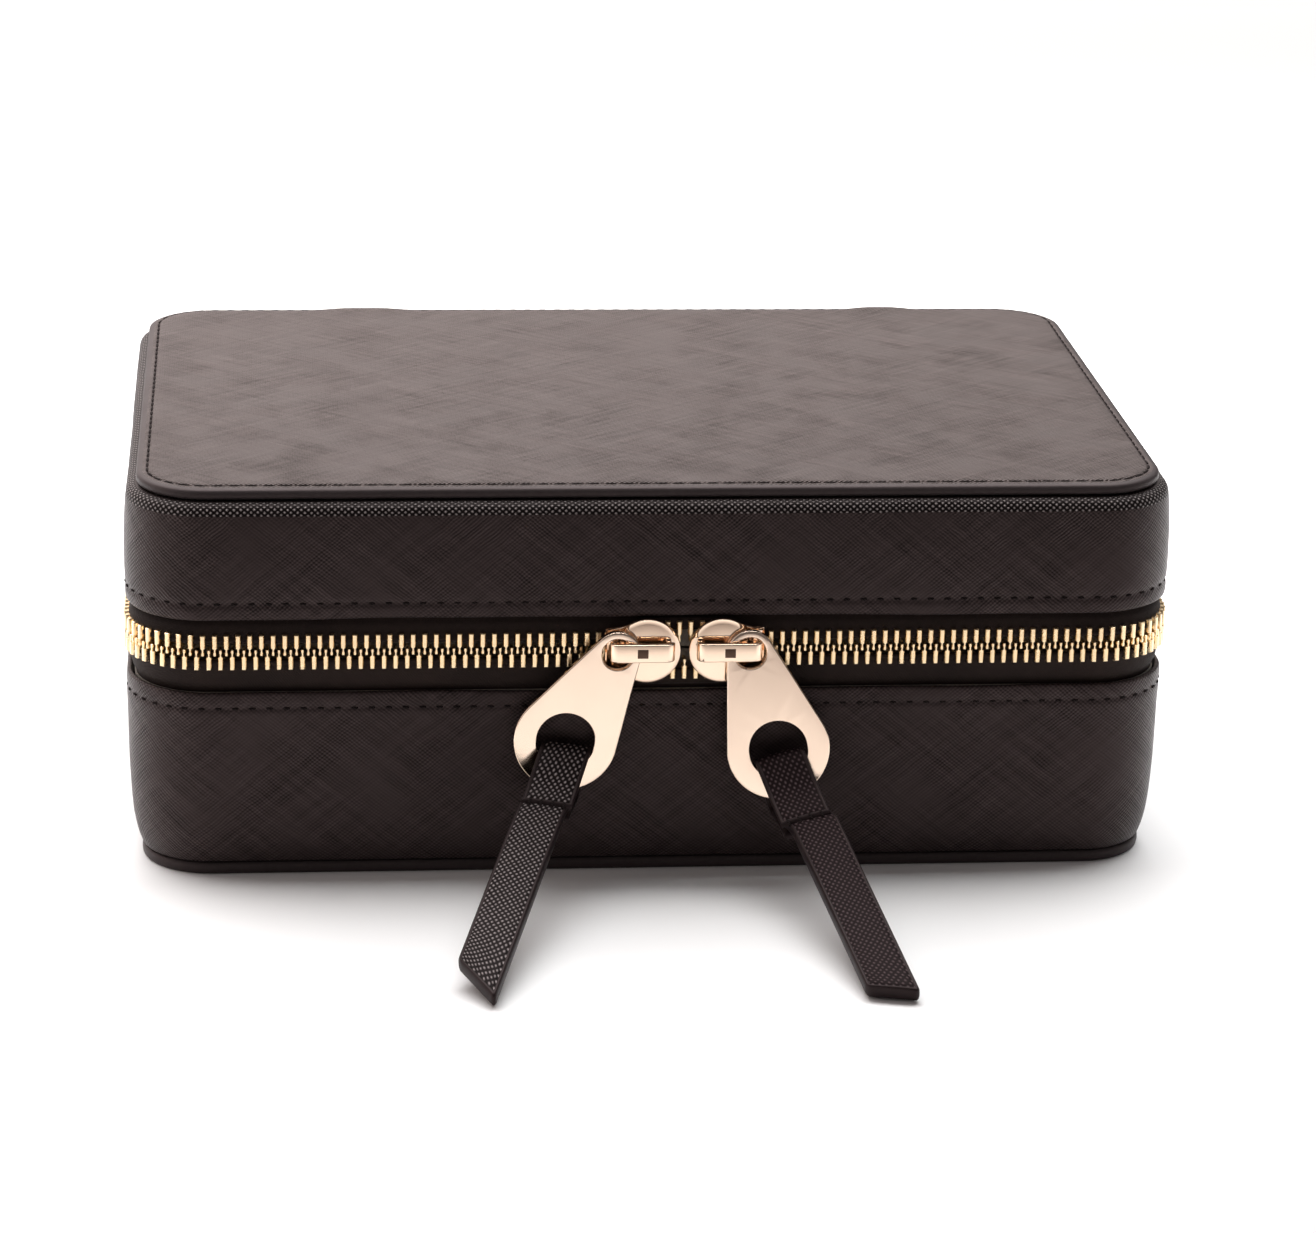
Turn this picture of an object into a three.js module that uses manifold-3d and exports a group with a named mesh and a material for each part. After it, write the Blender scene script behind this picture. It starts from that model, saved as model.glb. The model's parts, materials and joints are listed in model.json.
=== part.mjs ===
// A zipped leather jewellery case: a stiff base tray and a stiff lid, joined at the back by a
// leather spine and closed all round the front and sides by a metal zip with two sliders.
// Millimetres. +X is the case's right, +Y its back, +Z up. The origin is the centre of the
// face that it rests on.

import * as THREE from 'three';
import { mergeVertices } from 'three/addons/utils/BufferGeometryUtils.js';
import Module from 'manifold-3d';

const wasm = await Module();
wasm.setup();

// ---------------------------------------------------------------- driving dimensions

const WALL_WIDTH = 225;         // outside of the leather walls, left to right
const WALL_DEPTH = 154.6;       // outside of the leather walls, front to back
const WALL_CORNER = 17.6;       // plan radius of the walls' corners
const PANEL_INSET = 2.5;        // top and bottom panels stand this far inside the walls
const PANEL_THICKNESS = 2.7;
const TOTAL_HEIGHT = 87;
const BASE_HEM = 42.3;          // upper edge of the base's leather
const LID_HEM = 58.7;           // lower edge of the lid's leather
const LIP_SPLIT = 50.5;         // where the inner lips of base and lid meet; hinge height
const ZIP_HEIGHT = 51.5;        // middle of the closed chain

const GAP = 0.3;                // running gap between neighbouring pieces
const LEATHER = 1.2;
const BOARD = 3.3;              // stiffener in the walls
const LIP = 1.2;                // thin upper edge of the stiffener, behind the zip
const SUEDE = 0.8;
const FLOOR_BOARD = 2;
const FLOOR_SUEDE = 1.1;

const CORNER_STEPS = 7;         // facets in a quarter turn of the walls

const ZIP_END = 58;             // the zip starts and ends this far from the middle of the back
const SPINE_HALF_WIDTH = 62;
const SPINE_BOTTOM = 13;
const SPINE_TOP = 83.6;

const TEETH_OUT = -0.6;         // depths below the wall's surface: the chain stands a little proud
const TEETH_IN = 2;
const TAPE_OUT = 0.4;
const TAPE_IN = 1;
const ROW_HEIGHT = 4.2;
const ROW_GAP = 0.3;            // from the middle of the chain to each row
const UPPER_PARTING = 1.9;      // how far each row is pushed away between the sliders
const LOWER_PARTING = 2.4;
const PARTING_RAMP = 6;
const PARTED_STEPS = 20;

const SLIDER_LEFT_X = -2.1;     // middle of each slider's disc
const SLIDER_RIGHT_X = 13.9;
const SLIDER_DISC = 7.15;
const SLIDER_PLATE = 1.3;
const SLIDER_REAR_DISC = 5.6;
const SLIDER_REAR_PLATE = 1;
const SLIDER_NECK_TURN = 68;    // degrees from the tail to where the disc's round starts
const TAIL_REACH = 9.1;
const TAIL_HALF = 4.9;
const REAR_TAIL_HALF = 4.4;
const POST_REACH = 4;           // the post between the slider's plates, inward of its middle
const POST_WIDTH = 2.8;
const POST_HEIGHT = 2.4;

const BRIDGE_BAR = 1.3;         // the bar that carries the pull plate: its thickness
const BRIDGE_HEIGHT = 4;
const BRIDGE_RISE = 0.8;        // the bar's middle above the slider's
const BRIDGE_LEG = 1.6;
const BRIDGE_LEG_HEIGHT = 2.6;
const BRIDGE_LEG_RISE = 0.4;
const BRIDGE_INNER = -5.8;      // reach from the disc's middle, inward and outward
const BRIDGE_OUTER = 8.4;
const BRIDGE_CHAMFER = 0.9;

const PULL_THICKNESS = 1.6;
const PULL_CLEARANCE = 0.55;    // between the slider's face and the hanging plate
const PULL_LENGTH = 22.2;       // between the middles of the pull plate's two holes
const PULL_PIVOT_RISE = 0.1;
const PULL_SMALL = 5;
const PULL_SMALL_HOLE = 3.4;
const PULL_BIG = 11.1;
const PULL_BIG_HOLE = 6.2;

const STRAP_WIDTH = 10.3;
const STRAP_THICKNESS = 3.2;
const STRAP_RIM_REACH = 7.6;    // from the middle of the big hole to the strap's root
const LOOP_LENGTH = 13;
const STRAP_TURN = 22;          // the strap turns to its own heading over this length
const STRAP_STEP = 8;

// How each pull hangs, in millimetres and degrees. lean is outward from straight down and tilt
// is forward at the bottom. The strap crosses the rim at crossing, and beyond its seam it runs
// at heading to the right of straight ahead, at pitch below level, rolled by roll. Its end is
// cut slanting by cut across its width.
const PULLS = {
  left: {
    side: -1, x: SLIDER_LEFT_X, pivotReach: 6.5, lean: 29.3, tilt: 0,
    crossing: -9, heading: -17.8, pitch: 18.15, roll: -4.6, length: 68.4, cut: 9,
  },
  right: {
    side: 1, x: SLIDER_RIGHT_X, pivotReach: 5.8, lean: 16.8, tilt: 4.5,
    crossing: 16, heading: 11.5, pitch: 17.95, roll: 8, length: 69, cut: 3.4,
  },
};

const LID_PAD_BOTTOM = 79;
const PANEL_SKIN = 0.9;         // leather on a panel's face

const ROLL_COUNT = 6;
const ROLL_PITCH = 15.1;
const ROLL_RADIUS = 7.2;
const ROLL_TOP = 33;
const ROLL_END_GAP = 6.5;       // keeps the front roll clear of the rounded corner
const DIVIDER = 3;
const DIVIDER_TOP = 40;
const LOW_DIVIDER_TOP = 34;
const DIVIDER_Y = 23;           // middle of the long divider
const REAR_DIVIDER_X = 36;
const FRONT_DIVIDER_Y = -24;

const MIRROR_WIDTH = 150;
const MIRROR_DEPTH = 90;
const MIRROR_CORNER = 8;
const MIRROR_THICKNESS = 2;
const MIRROR_FRAME = 7;
const MIRROR_FRAME_THICKNESS = 3.6;

const SPINE_LINING_REACH = 12;  // above and below the hinge line

// ---------------------------------------------------------------- depths below the wall's surface

const boardOut = LEATHER + GAP;
const boardIn = boardOut + BOARD;
const liningOut = boardIn + GAP;
const liningIn = liningOut + SUEDE;
const panelTop = TOTAL_HEIGHT - PANEL_THICKNESS;
const floorTop = PANEL_THICKNESS + GAP + FLOOR_BOARD + GAP + FLOOR_SUEDE;

// How far the leather wall's outside is drawn in, against its height: the base tucks in over
// its bottom panel, and the lid has a padded shoulder under its top panel.
const BASE_TUCK = [
  [3, 2.3], [4, 1.95], [5, 1.65], [7, 1.2], [9, 0.9], [12, 0.6], [16, 0.35], [22, 0.1], [28, 0],
];
const LID_SHOULDER = [[74, -0.2], [78, 0.05], [80.5, 0.3], [82, 0.65], [83, 1.15], [83.6, 1.75], [84, 2.5]];

// ---------------------------------------------------------------- looks

const finish = {
  leather: () => new THREE.MeshStandardMaterial({ color: 0x2a2220, roughness: 0.5, metalness: 0 }),
  smoothLeather: () => new THREE.MeshStandardMaterial({ color: 0x2e2624, roughness: 0.42, metalness: 0 }),
  board: () => new THREE.MeshStandardMaterial({ color: 0x8d8478, roughness: 0.9, metalness: 0 }),
  suede: () => new THREE.MeshStandardMaterial({ color: 0xb9a28c, roughness: 0.95, metalness: 0 }),
  tape: () => new THREE.MeshStandardMaterial({ color: 0x120f0f, roughness: 0.85, metalness: 0 }),
  teeth: () => new THREE.MeshStandardMaterial({ color: 0xe2c07c, roughness: 0.25, metalness: 1 }),
  gold: () => new THREE.MeshStandardMaterial({ color: 0xf0cfae, roughness: 0.12, metalness: 1 }),
  mirror: () => new THREE.MeshStandardMaterial({ color: 0xdfe4e6, roughness: 0.03, metalness: 1 }),
};

// ---------------------------------------------------------------- solids

function solidOf(geometry) {
  const bare = new THREE.BufferGeometry();
  bare.setAttribute('position', geometry.getAttribute('position').clone());
  if (geometry.index) bare.setIndex(geometry.index.clone());
  const merged = mergeVertices(bare, 1e-4);
  const vertProperties = new Float32Array(merged.getAttribute('position').array);
  const triVerts = new Uint32Array(merged.index.array);
  return new wasm.Manifold(new wasm.Mesh({ numProp: 3, vertProperties, triVerts }));
}

function geometryOf(solid) {
  const mesh = solid.getMesh();
  const geometry = new THREE.BufferGeometry();
  geometry.setAttribute('position', new THREE.BufferAttribute(new Float32Array(mesh.vertProperties), 3));
  geometry.setIndex(new THREE.BufferAttribute(new Uint32Array(mesh.triVerts), 1));
  geometry.computeVertexNormals();
  return geometry;
}

// A rounded rectangle's outline, counter-clockwise from the middle of the back, with the
// outward direction at each point. Insets move points along that direction.
function wallPath() {
  const straightX = WALL_WIDTH / 2 - WALL_CORNER;
  const straightY = WALL_DEPTH / 2 - WALL_CORNER;
  const corners = [[-1, 1, 90], [-1, -1, 180], [1, -1, 270], [1, 1, 0]];
  const path = [];
  for (const [sideX, sideY, start] of corners) {
    for (let step = 0; step <= CORNER_STEPS; step += 1) {
      const angle = THREE.MathUtils.degToRad(start + (90 * step) / CORNER_STEPS);
      const out = new THREE.Vector2(Math.cos(angle), Math.sin(angle));
      const centre = new THREE.Vector2(sideX * straightX, sideY * straightY);
      path.push({ at: centre.addScaledVector(out, WALL_CORNER), out });
    }
  }
  return path;
}

// The part of that outline which the zip follows, from the back's left to the back's right,
// with extra points on the front where the two rows are parted under the sliders.
function zipPath() {
  const path = wallPath();
  const back = new THREE.Vector2(0, 1);
  const front = new THREE.Vector2(0, -1);
  const frontStart = 2 * (CORNER_STEPS + 1);
  const frontPoints = [];
  const partedFrom = SLIDER_LEFT_X - 2 * PARTING_RAMP;
  const partedTo = SLIDER_RIGHT_X + 2 * PARTING_RAMP;
  const step = (partedTo - partedFrom) / PARTED_STEPS;
  for (let i = 0; i <= PARTED_STEPS; i += 1) {
    frontPoints.push({ at: new THREE.Vector2(partedFrom + i * step, -WALL_DEPTH / 2), out: front });
  }
  path.splice(frontStart, 0, ...frontPoints);
  path.unshift({ at: new THREE.Vector2(-ZIP_END, WALL_DEPTH / 2), out: back });
  path.push({ at: new THREE.Vector2(ZIP_END, WALL_DEPTH / 2), out: back });
  return path;
}

// Sweeps a closed section, given as [inset, height] pairs, along a path of the wall.
function sweep(path, sectionAt, closed) {
  const positions = [];
  const index = [];
  const sections = path.map((point) => sectionAt(point));
  const count = sections[0].length;
  path.forEach(({ at, out }, i) => {
    for (const [inset, height] of sections[i]) {
      positions.push(at.x - out.x * inset, at.y - out.y * inset, height);
    }
  });
  const spans = closed ? path.length : path.length - 1;
  for (let i = 0; i < spans; i += 1) {
    const here = i * count;
    const next = ((i + 1) % path.length) * count;
    for (let j = 0; j < count; j += 1) {
      const k = (j + 1) % count;
      index.push(here + j, here + k, next + j, here + k, next + k, next + j);
    }
  }
  if (!closed) {
    const last = (path.length - 1) * count;
    const outline = sections[0].map(([inset, height]) => new THREE.Vector2(inset, height));
    for (const [a, b, c] of THREE.ShapeUtils.triangulateShape(outline, [])) {
      index.push(a, c, b, last + a, last + b, last + c);
    }
  }
  const geometry = new THREE.BufferGeometry();
  geometry.setAttribute('position', new THREE.Float32BufferAttribute(positions, 3));
  geometry.setIndex(index);
  return facingOut(geometry);
}

// Turns a closed geometry inside out if its signed volume is negative.
function facingOut(geometry) {
  const position = geometry.getAttribute('position');
  const index = geometry.index.array;
  const corner = [new THREE.Vector3(), new THREE.Vector3(), new THREE.Vector3()];
  let volume = 0;
  for (let i = 0; i < index.length; i += 3) {
    corner.forEach((point, j) => point.fromBufferAttribute(position, index[i + j]));
    volume += corner[0].dot(corner[1].clone().cross(corner[2]));
  }
  if (volume < 0) {
    for (let i = 0; i < index.length; i += 3) {
      [index[i + 1], index[i + 2]] = [index[i + 2], index[i + 1]];
    }
  }
  geometry.computeVertexNormals();
  return geometry;
}

const ring = (section) => sweep(wallPath(), () => section, true);

function roundedRectangle(width, depth, corner) {
  const shape = new THREE.Shape();
  const x = width / 2 - corner;
  const y = depth / 2 - corner;
  shape.absarc(x, -y, corner, -Math.PI / 2, 0);
  shape.absarc(x, y, corner, 0, Math.PI / 2);
  shape.absarc(-x, y, corner, Math.PI / 2, Math.PI);
  shape.absarc(-x, -y, corner, Math.PI, 1.5 * Math.PI);
  return shape;
}

// A flat piece with the walls' plan, drawn in by an inset.
function slab(inset, low, high) {
  const shape = roundedRectangle(WALL_WIDTH - 2 * inset, WALL_DEPTH - 2 * inset, WALL_CORNER - inset);
  return upright(shape, low, high);
}

function upright(shape, low, high) {
  const geometry = new THREE.ExtrudeGeometry(shape, {
    depth: high - low, bevelEnabled: false, curveSegments: CORNER_STEPS,
  });
  return geometry.translate(0, 0, low);
}

// Extrudes a shape drawn in X and Z towards the front, between two depths along Y.
function facingFront(shape, back, front, segments = 20) {
  const geometry = new THREE.ExtrudeGeometry(shape, {
    depth: back - front, bevelEnabled: false, curveSegments: segments,
  });
  return geometry.rotateX(Math.PI / 2).translate(0, back, 0);
}

function block(lowX, highX, lowY, highY, lowZ, highZ) {
  const geometry = new THREE.BoxGeometry(highX - lowX, highY - lowY, highZ - lowZ);
  return geometry.translate((lowX + highX) / 2, (lowY + highY) / 2, (lowZ + highZ) / 2);
}

function named(name, geometry, material) {
  const mesh = new THREE.Mesh(geometry, material);
  mesh.name = name;
  return mesh;
}

// ---------------------------------------------------------------- walls, panels and linings

// The leather's section: its outside follows the given curve, its inside lies a skin deeper.
function skinSection(curve, depthOut, depthIn) {
  const outside = curve.map(([height, inset]) => [inset + depthOut, height]);
  const inside = curve.map(([height, inset]) => [inset + depthIn, height]).reverse();
  return [...outside, ...inside];
}

function baseShell() {
  const skin = [...BASE_TUCK, [BASE_HEM, 0]];
  const bottomGap = PANEL_THICKNESS + GAP;
  const boardSection = [
    ...BASE_TUCK.map(([height, inset]) => [inset + boardOut, height]),
    [boardOut, BASE_HEM - GAP],
    [boardIn - LIP, BASE_HEM - GAP],
    [boardIn - LIP, LIP_SPLIT - GAP],
    [boardIn, LIP_SPLIT - GAP],
    [boardIn, bottomGap],
  ];
  const liningBottom = bottomGap + FLOOR_BOARD + GAP;
  const liningSection = [
    [liningOut, liningBottom], [liningOut, LIP_SPLIT - 2 * GAP],
    [liningIn, LIP_SPLIT - 2 * GAP], [liningIn, liningBottom],
  ];
  const group = new THREE.Group();
  group.add(
    named('base_bottom_leather', coveredPanel(0, PANEL_THICKNESS, true), finish.smoothLeather()),
    named('base_bottom_board', panelBoard(0, PANEL_THICKNESS, true), finish.board()),
    named('base_wall_leather', ring(skinSection(skin, 0, LEATHER)), finish.leather()),
    named('base_frame_board', ring(boardSection), finish.board()),
    named('base_floor_board', slab(liningOut, bottomGap, bottomGap + FLOOR_BOARD), finish.board()),
    named('base_wall_lining', ring(liningSection), finish.suede()),
    named('base_floor_lining', slab(liningIn + GAP, liningBottom, floorTop), finish.suede()),
  );
  return group;
}

function lidShell() {
  const skin = [[LID_HEM, -0.05], [60.5, -0.35], [66, -0.4], ...LID_SHOULDER];
  const boardTop = panelTop - GAP;
  const boardSection = [
    [boardIn, LIP_SPLIT + GAP],
    [boardIn - LIP, LIP_SPLIT + GAP],
    [boardIn - LIP, LID_HEM + GAP],
    [boardOut, LID_HEM + GAP],
    ...LID_SHOULDER.map(([height, inset]) => [Math.max(inset, 0) + boardOut, height]),
    [boardIn, boardTop],
  ];
  const liningTop = boardTop - GAP;
  const liningSection = [
    [liningOut, LIP_SPLIT + 2 * GAP], [liningOut, liningTop],
    [liningIn, liningTop], [liningIn, LIP_SPLIT + 2 * GAP],
  ];
  const group = new THREE.Group();
  group.add(
    named('lid_top_leather', coveredPanel(panelTop, TOTAL_HEIGHT, false), finish.leather()),
    named('lid_top_board', panelBoard(panelTop, TOTAL_HEIGHT, false), finish.board()),
    named('lid_wall_leather', ring(skinSection(skin, 0, LEATHER)), finish.leather()),
    named('lid_frame_board', ring(boardSection), finish.board()),
    named('lid_wall_lining', ring(liningSection), finish.suede()),
    named('lid_pad', slab(liningIn + GAP, LID_PAD_BOTTOM, liningTop), finish.suede()),
  );
  return group;
}

// A panel's leather, turned over the edge of its board and open on the board's inner side.
function coveredPanel(low, high, openAbove) {
  const outside = solidOf(slab(PANEL_INSET, low, high));
  const pocketLow = openAbove ? low + PANEL_SKIN : low - 1;
  const pocketHigh = openAbove ? high + 1 : high - PANEL_SKIN;
  const pocket = solidOf(slab(PANEL_INSET + LEATHER, pocketLow, pocketHigh));
  return geometryOf(outside.subtract(pocket));
}

function panelBoard(low, high, openAbove) {
  const boardLow = openAbove ? low + PANEL_SKIN + GAP : low;
  const boardHigh = openAbove ? high : high - PANEL_SKIN - GAP;
  return slab(PANEL_INSET + LEATHER + GAP, boardLow, boardHigh);
}

// ---------------------------------------------------------------- fittings inside

const insideX = WALL_WIDTH / 2 - liningIn - GAP;
const insideY = WALL_DEPTH / 2 - liningIn - GAP;

// A foam roll for rings: straight sides under a half-round top, lying along X.
function ringRoll(middleY) {
  const floor = floorTop + GAP;
  const shape = new THREE.Shape();
  shape.moveTo(-ROLL_RADIUS, floor);
  shape.lineTo(ROLL_RADIUS, floor);
  shape.absarc(0, ROLL_TOP - ROLL_RADIUS, ROLL_RADIUS, 0, Math.PI);
  const length = insideX - ROLL_END_GAP - DIVIDER / 2 - GAP;
  const geometry = new THREE.ExtrudeGeometry(shape, {
    depth: length, bevelEnabled: false, curveSegments: 10,
  });
  geometry.rotateX(Math.PI / 2).rotateZ(Math.PI / 2);
  return geometry.translate(-insideX + ROLL_END_GAP, middleY, 0);
}

function baseFittings() {
  const group = new THREE.Group();
  const low = floorTop + GAP;
  const half = DIVIDER / 2;
  const longFront = DIVIDER_Y - half;
  const longBack = DIVIDER_Y + half;
  const dividers = {
    divider_long: block(-insideX, insideX, longFront, longBack, low, DIVIDER_TOP),
    divider_middle: block(-half, half, -insideY, longFront - GAP, low, DIVIDER_TOP),
    divider_front: block(
      half + GAP, insideX, FRONT_DIVIDER_Y - half, FRONT_DIVIDER_Y + half, low, LOW_DIVIDER_TOP,
    ),
    divider_rear: block(
      REAR_DIVIDER_X - half, REAR_DIVIDER_X + half, longBack + GAP, insideY, low, LOW_DIVIDER_TOP,
    ),
  };
  for (const [name, geometry] of Object.entries(dividers)) {
    group.add(named(name, geometry, finish.suede()));
  }
  for (let i = 0; i < ROLL_COUNT; i += 1) {
    const middleY = longFront - GAP - ROLL_PITCH * (i + 0.5);
    group.add(named(`ring_roll_${i + 1}`, ringRoll(middleY), finish.suede()));
  }
  return group;
}

function lidFittings() {
  const group = new THREE.Group();
  const top = LID_PAD_BOTTOM - GAP;
  const glass = roundedRectangle(MIRROR_WIDTH, MIRROR_DEPTH, MIRROR_CORNER);
  const hole = roundedRectangle(MIRROR_WIDTH + 2 * GAP, MIRROR_DEPTH + 2 * GAP, MIRROR_CORNER + GAP);
  const outer = roundedRectangle(
    MIRROR_WIDTH + 2 * MIRROR_FRAME, MIRROR_DEPTH + 2 * MIRROR_FRAME, MIRROR_CORNER + MIRROR_FRAME,
  );
  outer.holes.push(new THREE.Path(hole.getPoints(CORNER_STEPS)));
  group.add(
    named('mirror', upright(glass, top - MIRROR_THICKNESS, top), finish.mirror()),
    named('mirror_frame', upright(outer, top - MIRROR_FRAME_THICKNESS, top), finish.leather()),
  );
  return group;
}

// ---------------------------------------------------------------- spine and zip

// 1 where a slider or the space between the two sliders parts the rows, 0 where they mesh.
function parting({ at, out }) {
  const onFront = out.y < -0.999;
  if (!onFront) return 0;
  const rise = THREE.MathUtils.smoothstep(at.x, SLIDER_LEFT_X - PARTING_RAMP, SLIDER_LEFT_X + 1);
  const fall = THREE.MathUtils.smoothstep(at.x, SLIDER_RIGHT_X - 1, SLIDER_RIGHT_X + PARTING_RAMP);
  return rise * (1 - fall);
}

function band(out, inset, low, high) {
  return [[out, low], [inset, low], [inset, high], [out, high]];
}

function zip() {
  const lowerRow = (point) => {
    const top = ZIP_HEIGHT - ROW_GAP - LOWER_PARTING * parting(point);
    return [top - ROW_HEIGHT, top];
  };
  const upperRow = (point) => {
    const bottom = ZIP_HEIGHT + ROW_GAP + UPPER_PARTING * parting(point);
    return [bottom, bottom + ROW_HEIGHT];
  };
  const path = zipPath();
  const lowerTeeth = sweep(path, (point) => band(TEETH_OUT, TEETH_IN, ...lowerRow(point)), false);
  const upperTeeth = sweep(path, (point) => band(TEETH_OUT, TEETH_IN, ...upperRow(point)), false);
  const lowerTapeSection = (point) => band(TAPE_OUT, TAPE_IN, BASE_HEM + GAP, lowerRow(point)[0] - GAP / 2);
  const upperTapeSection = (point) => band(TAPE_OUT, TAPE_IN, upperRow(point)[1] + GAP / 2, LID_HEM - GAP / 2);
  const lowerTape = sweep(path, lowerTapeSection, false);
  const upperTape = sweep(path, upperTapeSection, false);
  return {
    base: [
      named('zip_teeth_lower', lowerTeeth, finish.teeth()),
      named('zip_tape_lower', lowerTape, finish.tape()),
    ],
    lid: [
      named('zip_teeth_upper', upperTeeth, finish.teeth()),
      named('zip_tape_upper', upperTape, finish.tape()),
    ],
  };
}

function spine() {
  const back = WALL_DEPTH / 2;
  const outer = block(
    -SPINE_HALF_WIDTH, SPINE_HALF_WIDTH, back + 2 * GAP, back + 2 * GAP + LEATHER, SPINE_BOTTOM, SPINE_TOP,
  );
  const inner = block(
    -SPINE_HALF_WIDTH, SPINE_HALF_WIDTH,
    back - liningIn - GAP - SUEDE, back - liningIn - GAP,
    LIP_SPLIT - SPINE_LINING_REACH, LIP_SPLIT + SPINE_LINING_REACH,
  );
  return [
    named('spine_leather', outer, finish.leather()),
    named('spine_lining', inner, finish.suede()),
  ];
}

// ---------------------------------------------------------------- sliders, pulls and straps

const wallFront = -WALL_DEPTH / 2;
const plateBack = wallFront + TEETH_OUT - GAP;       // back of the slider's front plate
const sliderFace = plateBack - SLIDER_PLATE;
const pullMiddle = sliderFace - PULL_CLEARANCE - PULL_THICKNESS / 2;
const bridgeBack = pullMiddle - PULL_THICKNESS / 2 - GAP;
const radians = THREE.MathUtils.degToRad;

// A disc with a tapering tail on its outer side (side is 1 on the right, -1 on the left).
function sliderOutline(side, disc, tailReach, tailHalf) {
  const turn = radians(SLIDER_NECK_TURN);
  const round = new THREE.Path().absarc(0, 0, disc, turn, 2 * Math.PI - turn).getPoints(28);
  const tail = [new THREE.Vector2(tailReach, -tailHalf), new THREE.Vector2(tailReach, tailHalf)];
  return new THREE.Shape([...round, ...tail].map((point) => new THREE.Vector2(side * point.x, point.y)));
}

function sliderBody(side) {
  const frontShape = sliderOutline(side, SLIDER_DISC, TAIL_REACH, TAIL_HALF);
  const rearShape = sliderOutline(side, SLIDER_REAR_DISC, TAIL_REACH, REAR_TAIL_HALF);
  const rearFace = wallFront + TEETH_IN + GAP;
  const bite = 0.5;             // how far the post reaches into each plate
  const front = facingFront(frontShape, plateBack, sliderFace);
  const rear = facingFront(rearShape, rearFace + SLIDER_REAR_PLATE, rearFace);
  const post = block(
    -POST_WIDTH / 2, POST_WIDTH / 2, plateBack - bite, rearFace + bite, -POST_HEIGHT / 2, POST_HEIGHT / 2,
  );
  post.translate(-side * POST_REACH, 0, 0);
  return geometryOf(solidOf(front).add(solidOf(rear)).add(solidOf(post)));
}

// A flat bar in front of the pull plate, on two legs: the outer leg passes through the plate's
// small hole, which is why the legs are lower than the bar.
function bridge(side) {
  const foot = sliderFace - GAP;
  const barFront = bridgeBack - BRIDGE_BAR;
  const barOutline = [
    [BRIDGE_INNER, bridgeBack],
    [BRIDGE_INNER, barFront + BRIDGE_CHAMFER],
    [BRIDGE_INNER + BRIDGE_CHAMFER, barFront],
    [BRIDGE_OUTER - BRIDGE_CHAMFER, barFront],
    [BRIDGE_OUTER, barFront + BRIDGE_CHAMFER],
    [BRIDGE_OUTER, bridgeBack],
  ];
  const barShape = new THREE.Shape(barOutline.map(([x, y]) => new THREE.Vector2(side * x, y)));
  const barLow = BRIDGE_RISE - BRIDGE_HEIGHT / 2;
  let whole = solidOf(upright(barShape, barLow, barLow + BRIDGE_HEIGHT));
  const legLow = BRIDGE_LEG_RISE - BRIDGE_LEG_HEIGHT / 2;
  for (const reach of [BRIDGE_INNER, BRIDGE_OUTER - BRIDGE_LEG]) {
    const ends = [side * reach, side * (reach + BRIDGE_LEG)].sort((a, b) => a - b);
    const leg = block(...ends, bridgeBack - BRIDGE_BAR / 2, foot, legLow, legLow + BRIDGE_LEG_HEIGHT);
    whole = whole.add(solidOf(leg));
  }
  return geometryOf(whole);
}

// The pull plate is a flat teardrop that hangs down from its small hole; both holes are round.
function pullPlate() {
  const tangent = Math.acos((PULL_BIG - PULL_SMALL) / PULL_LENGTH);
  const up = Math.PI / 2;
  const shape = new THREE.Shape();
  shape.absarc(0, 0, PULL_SMALL, up - tangent, up + tangent);
  shape.absarc(0, -PULL_LENGTH, PULL_BIG, up + tangent, up - tangent + 2 * Math.PI);
  const smallHole = new THREE.Path().absarc(0, 0, PULL_SMALL_HOLE, 0, 2 * Math.PI);
  const bigHole = new THREE.Path().absarc(0, -PULL_LENGTH, PULL_BIG_HOLE, 0, 2 * Math.PI);
  shape.holes.push(smallHole, bigHole);
  return facingFront(shape, PULL_THICKNESS / 2, -PULL_THICKNESS / 2, 16);
}

// A unit vector that hangs down, swung to the right by swing and forward at the bottom by tilt.
function hanging(swing, tilt) {
  return new THREE.Vector3(
    Math.sin(swing) * Math.cos(tilt), -Math.sin(tilt), -Math.cos(swing) * Math.cos(tilt),
  );
}

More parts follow.
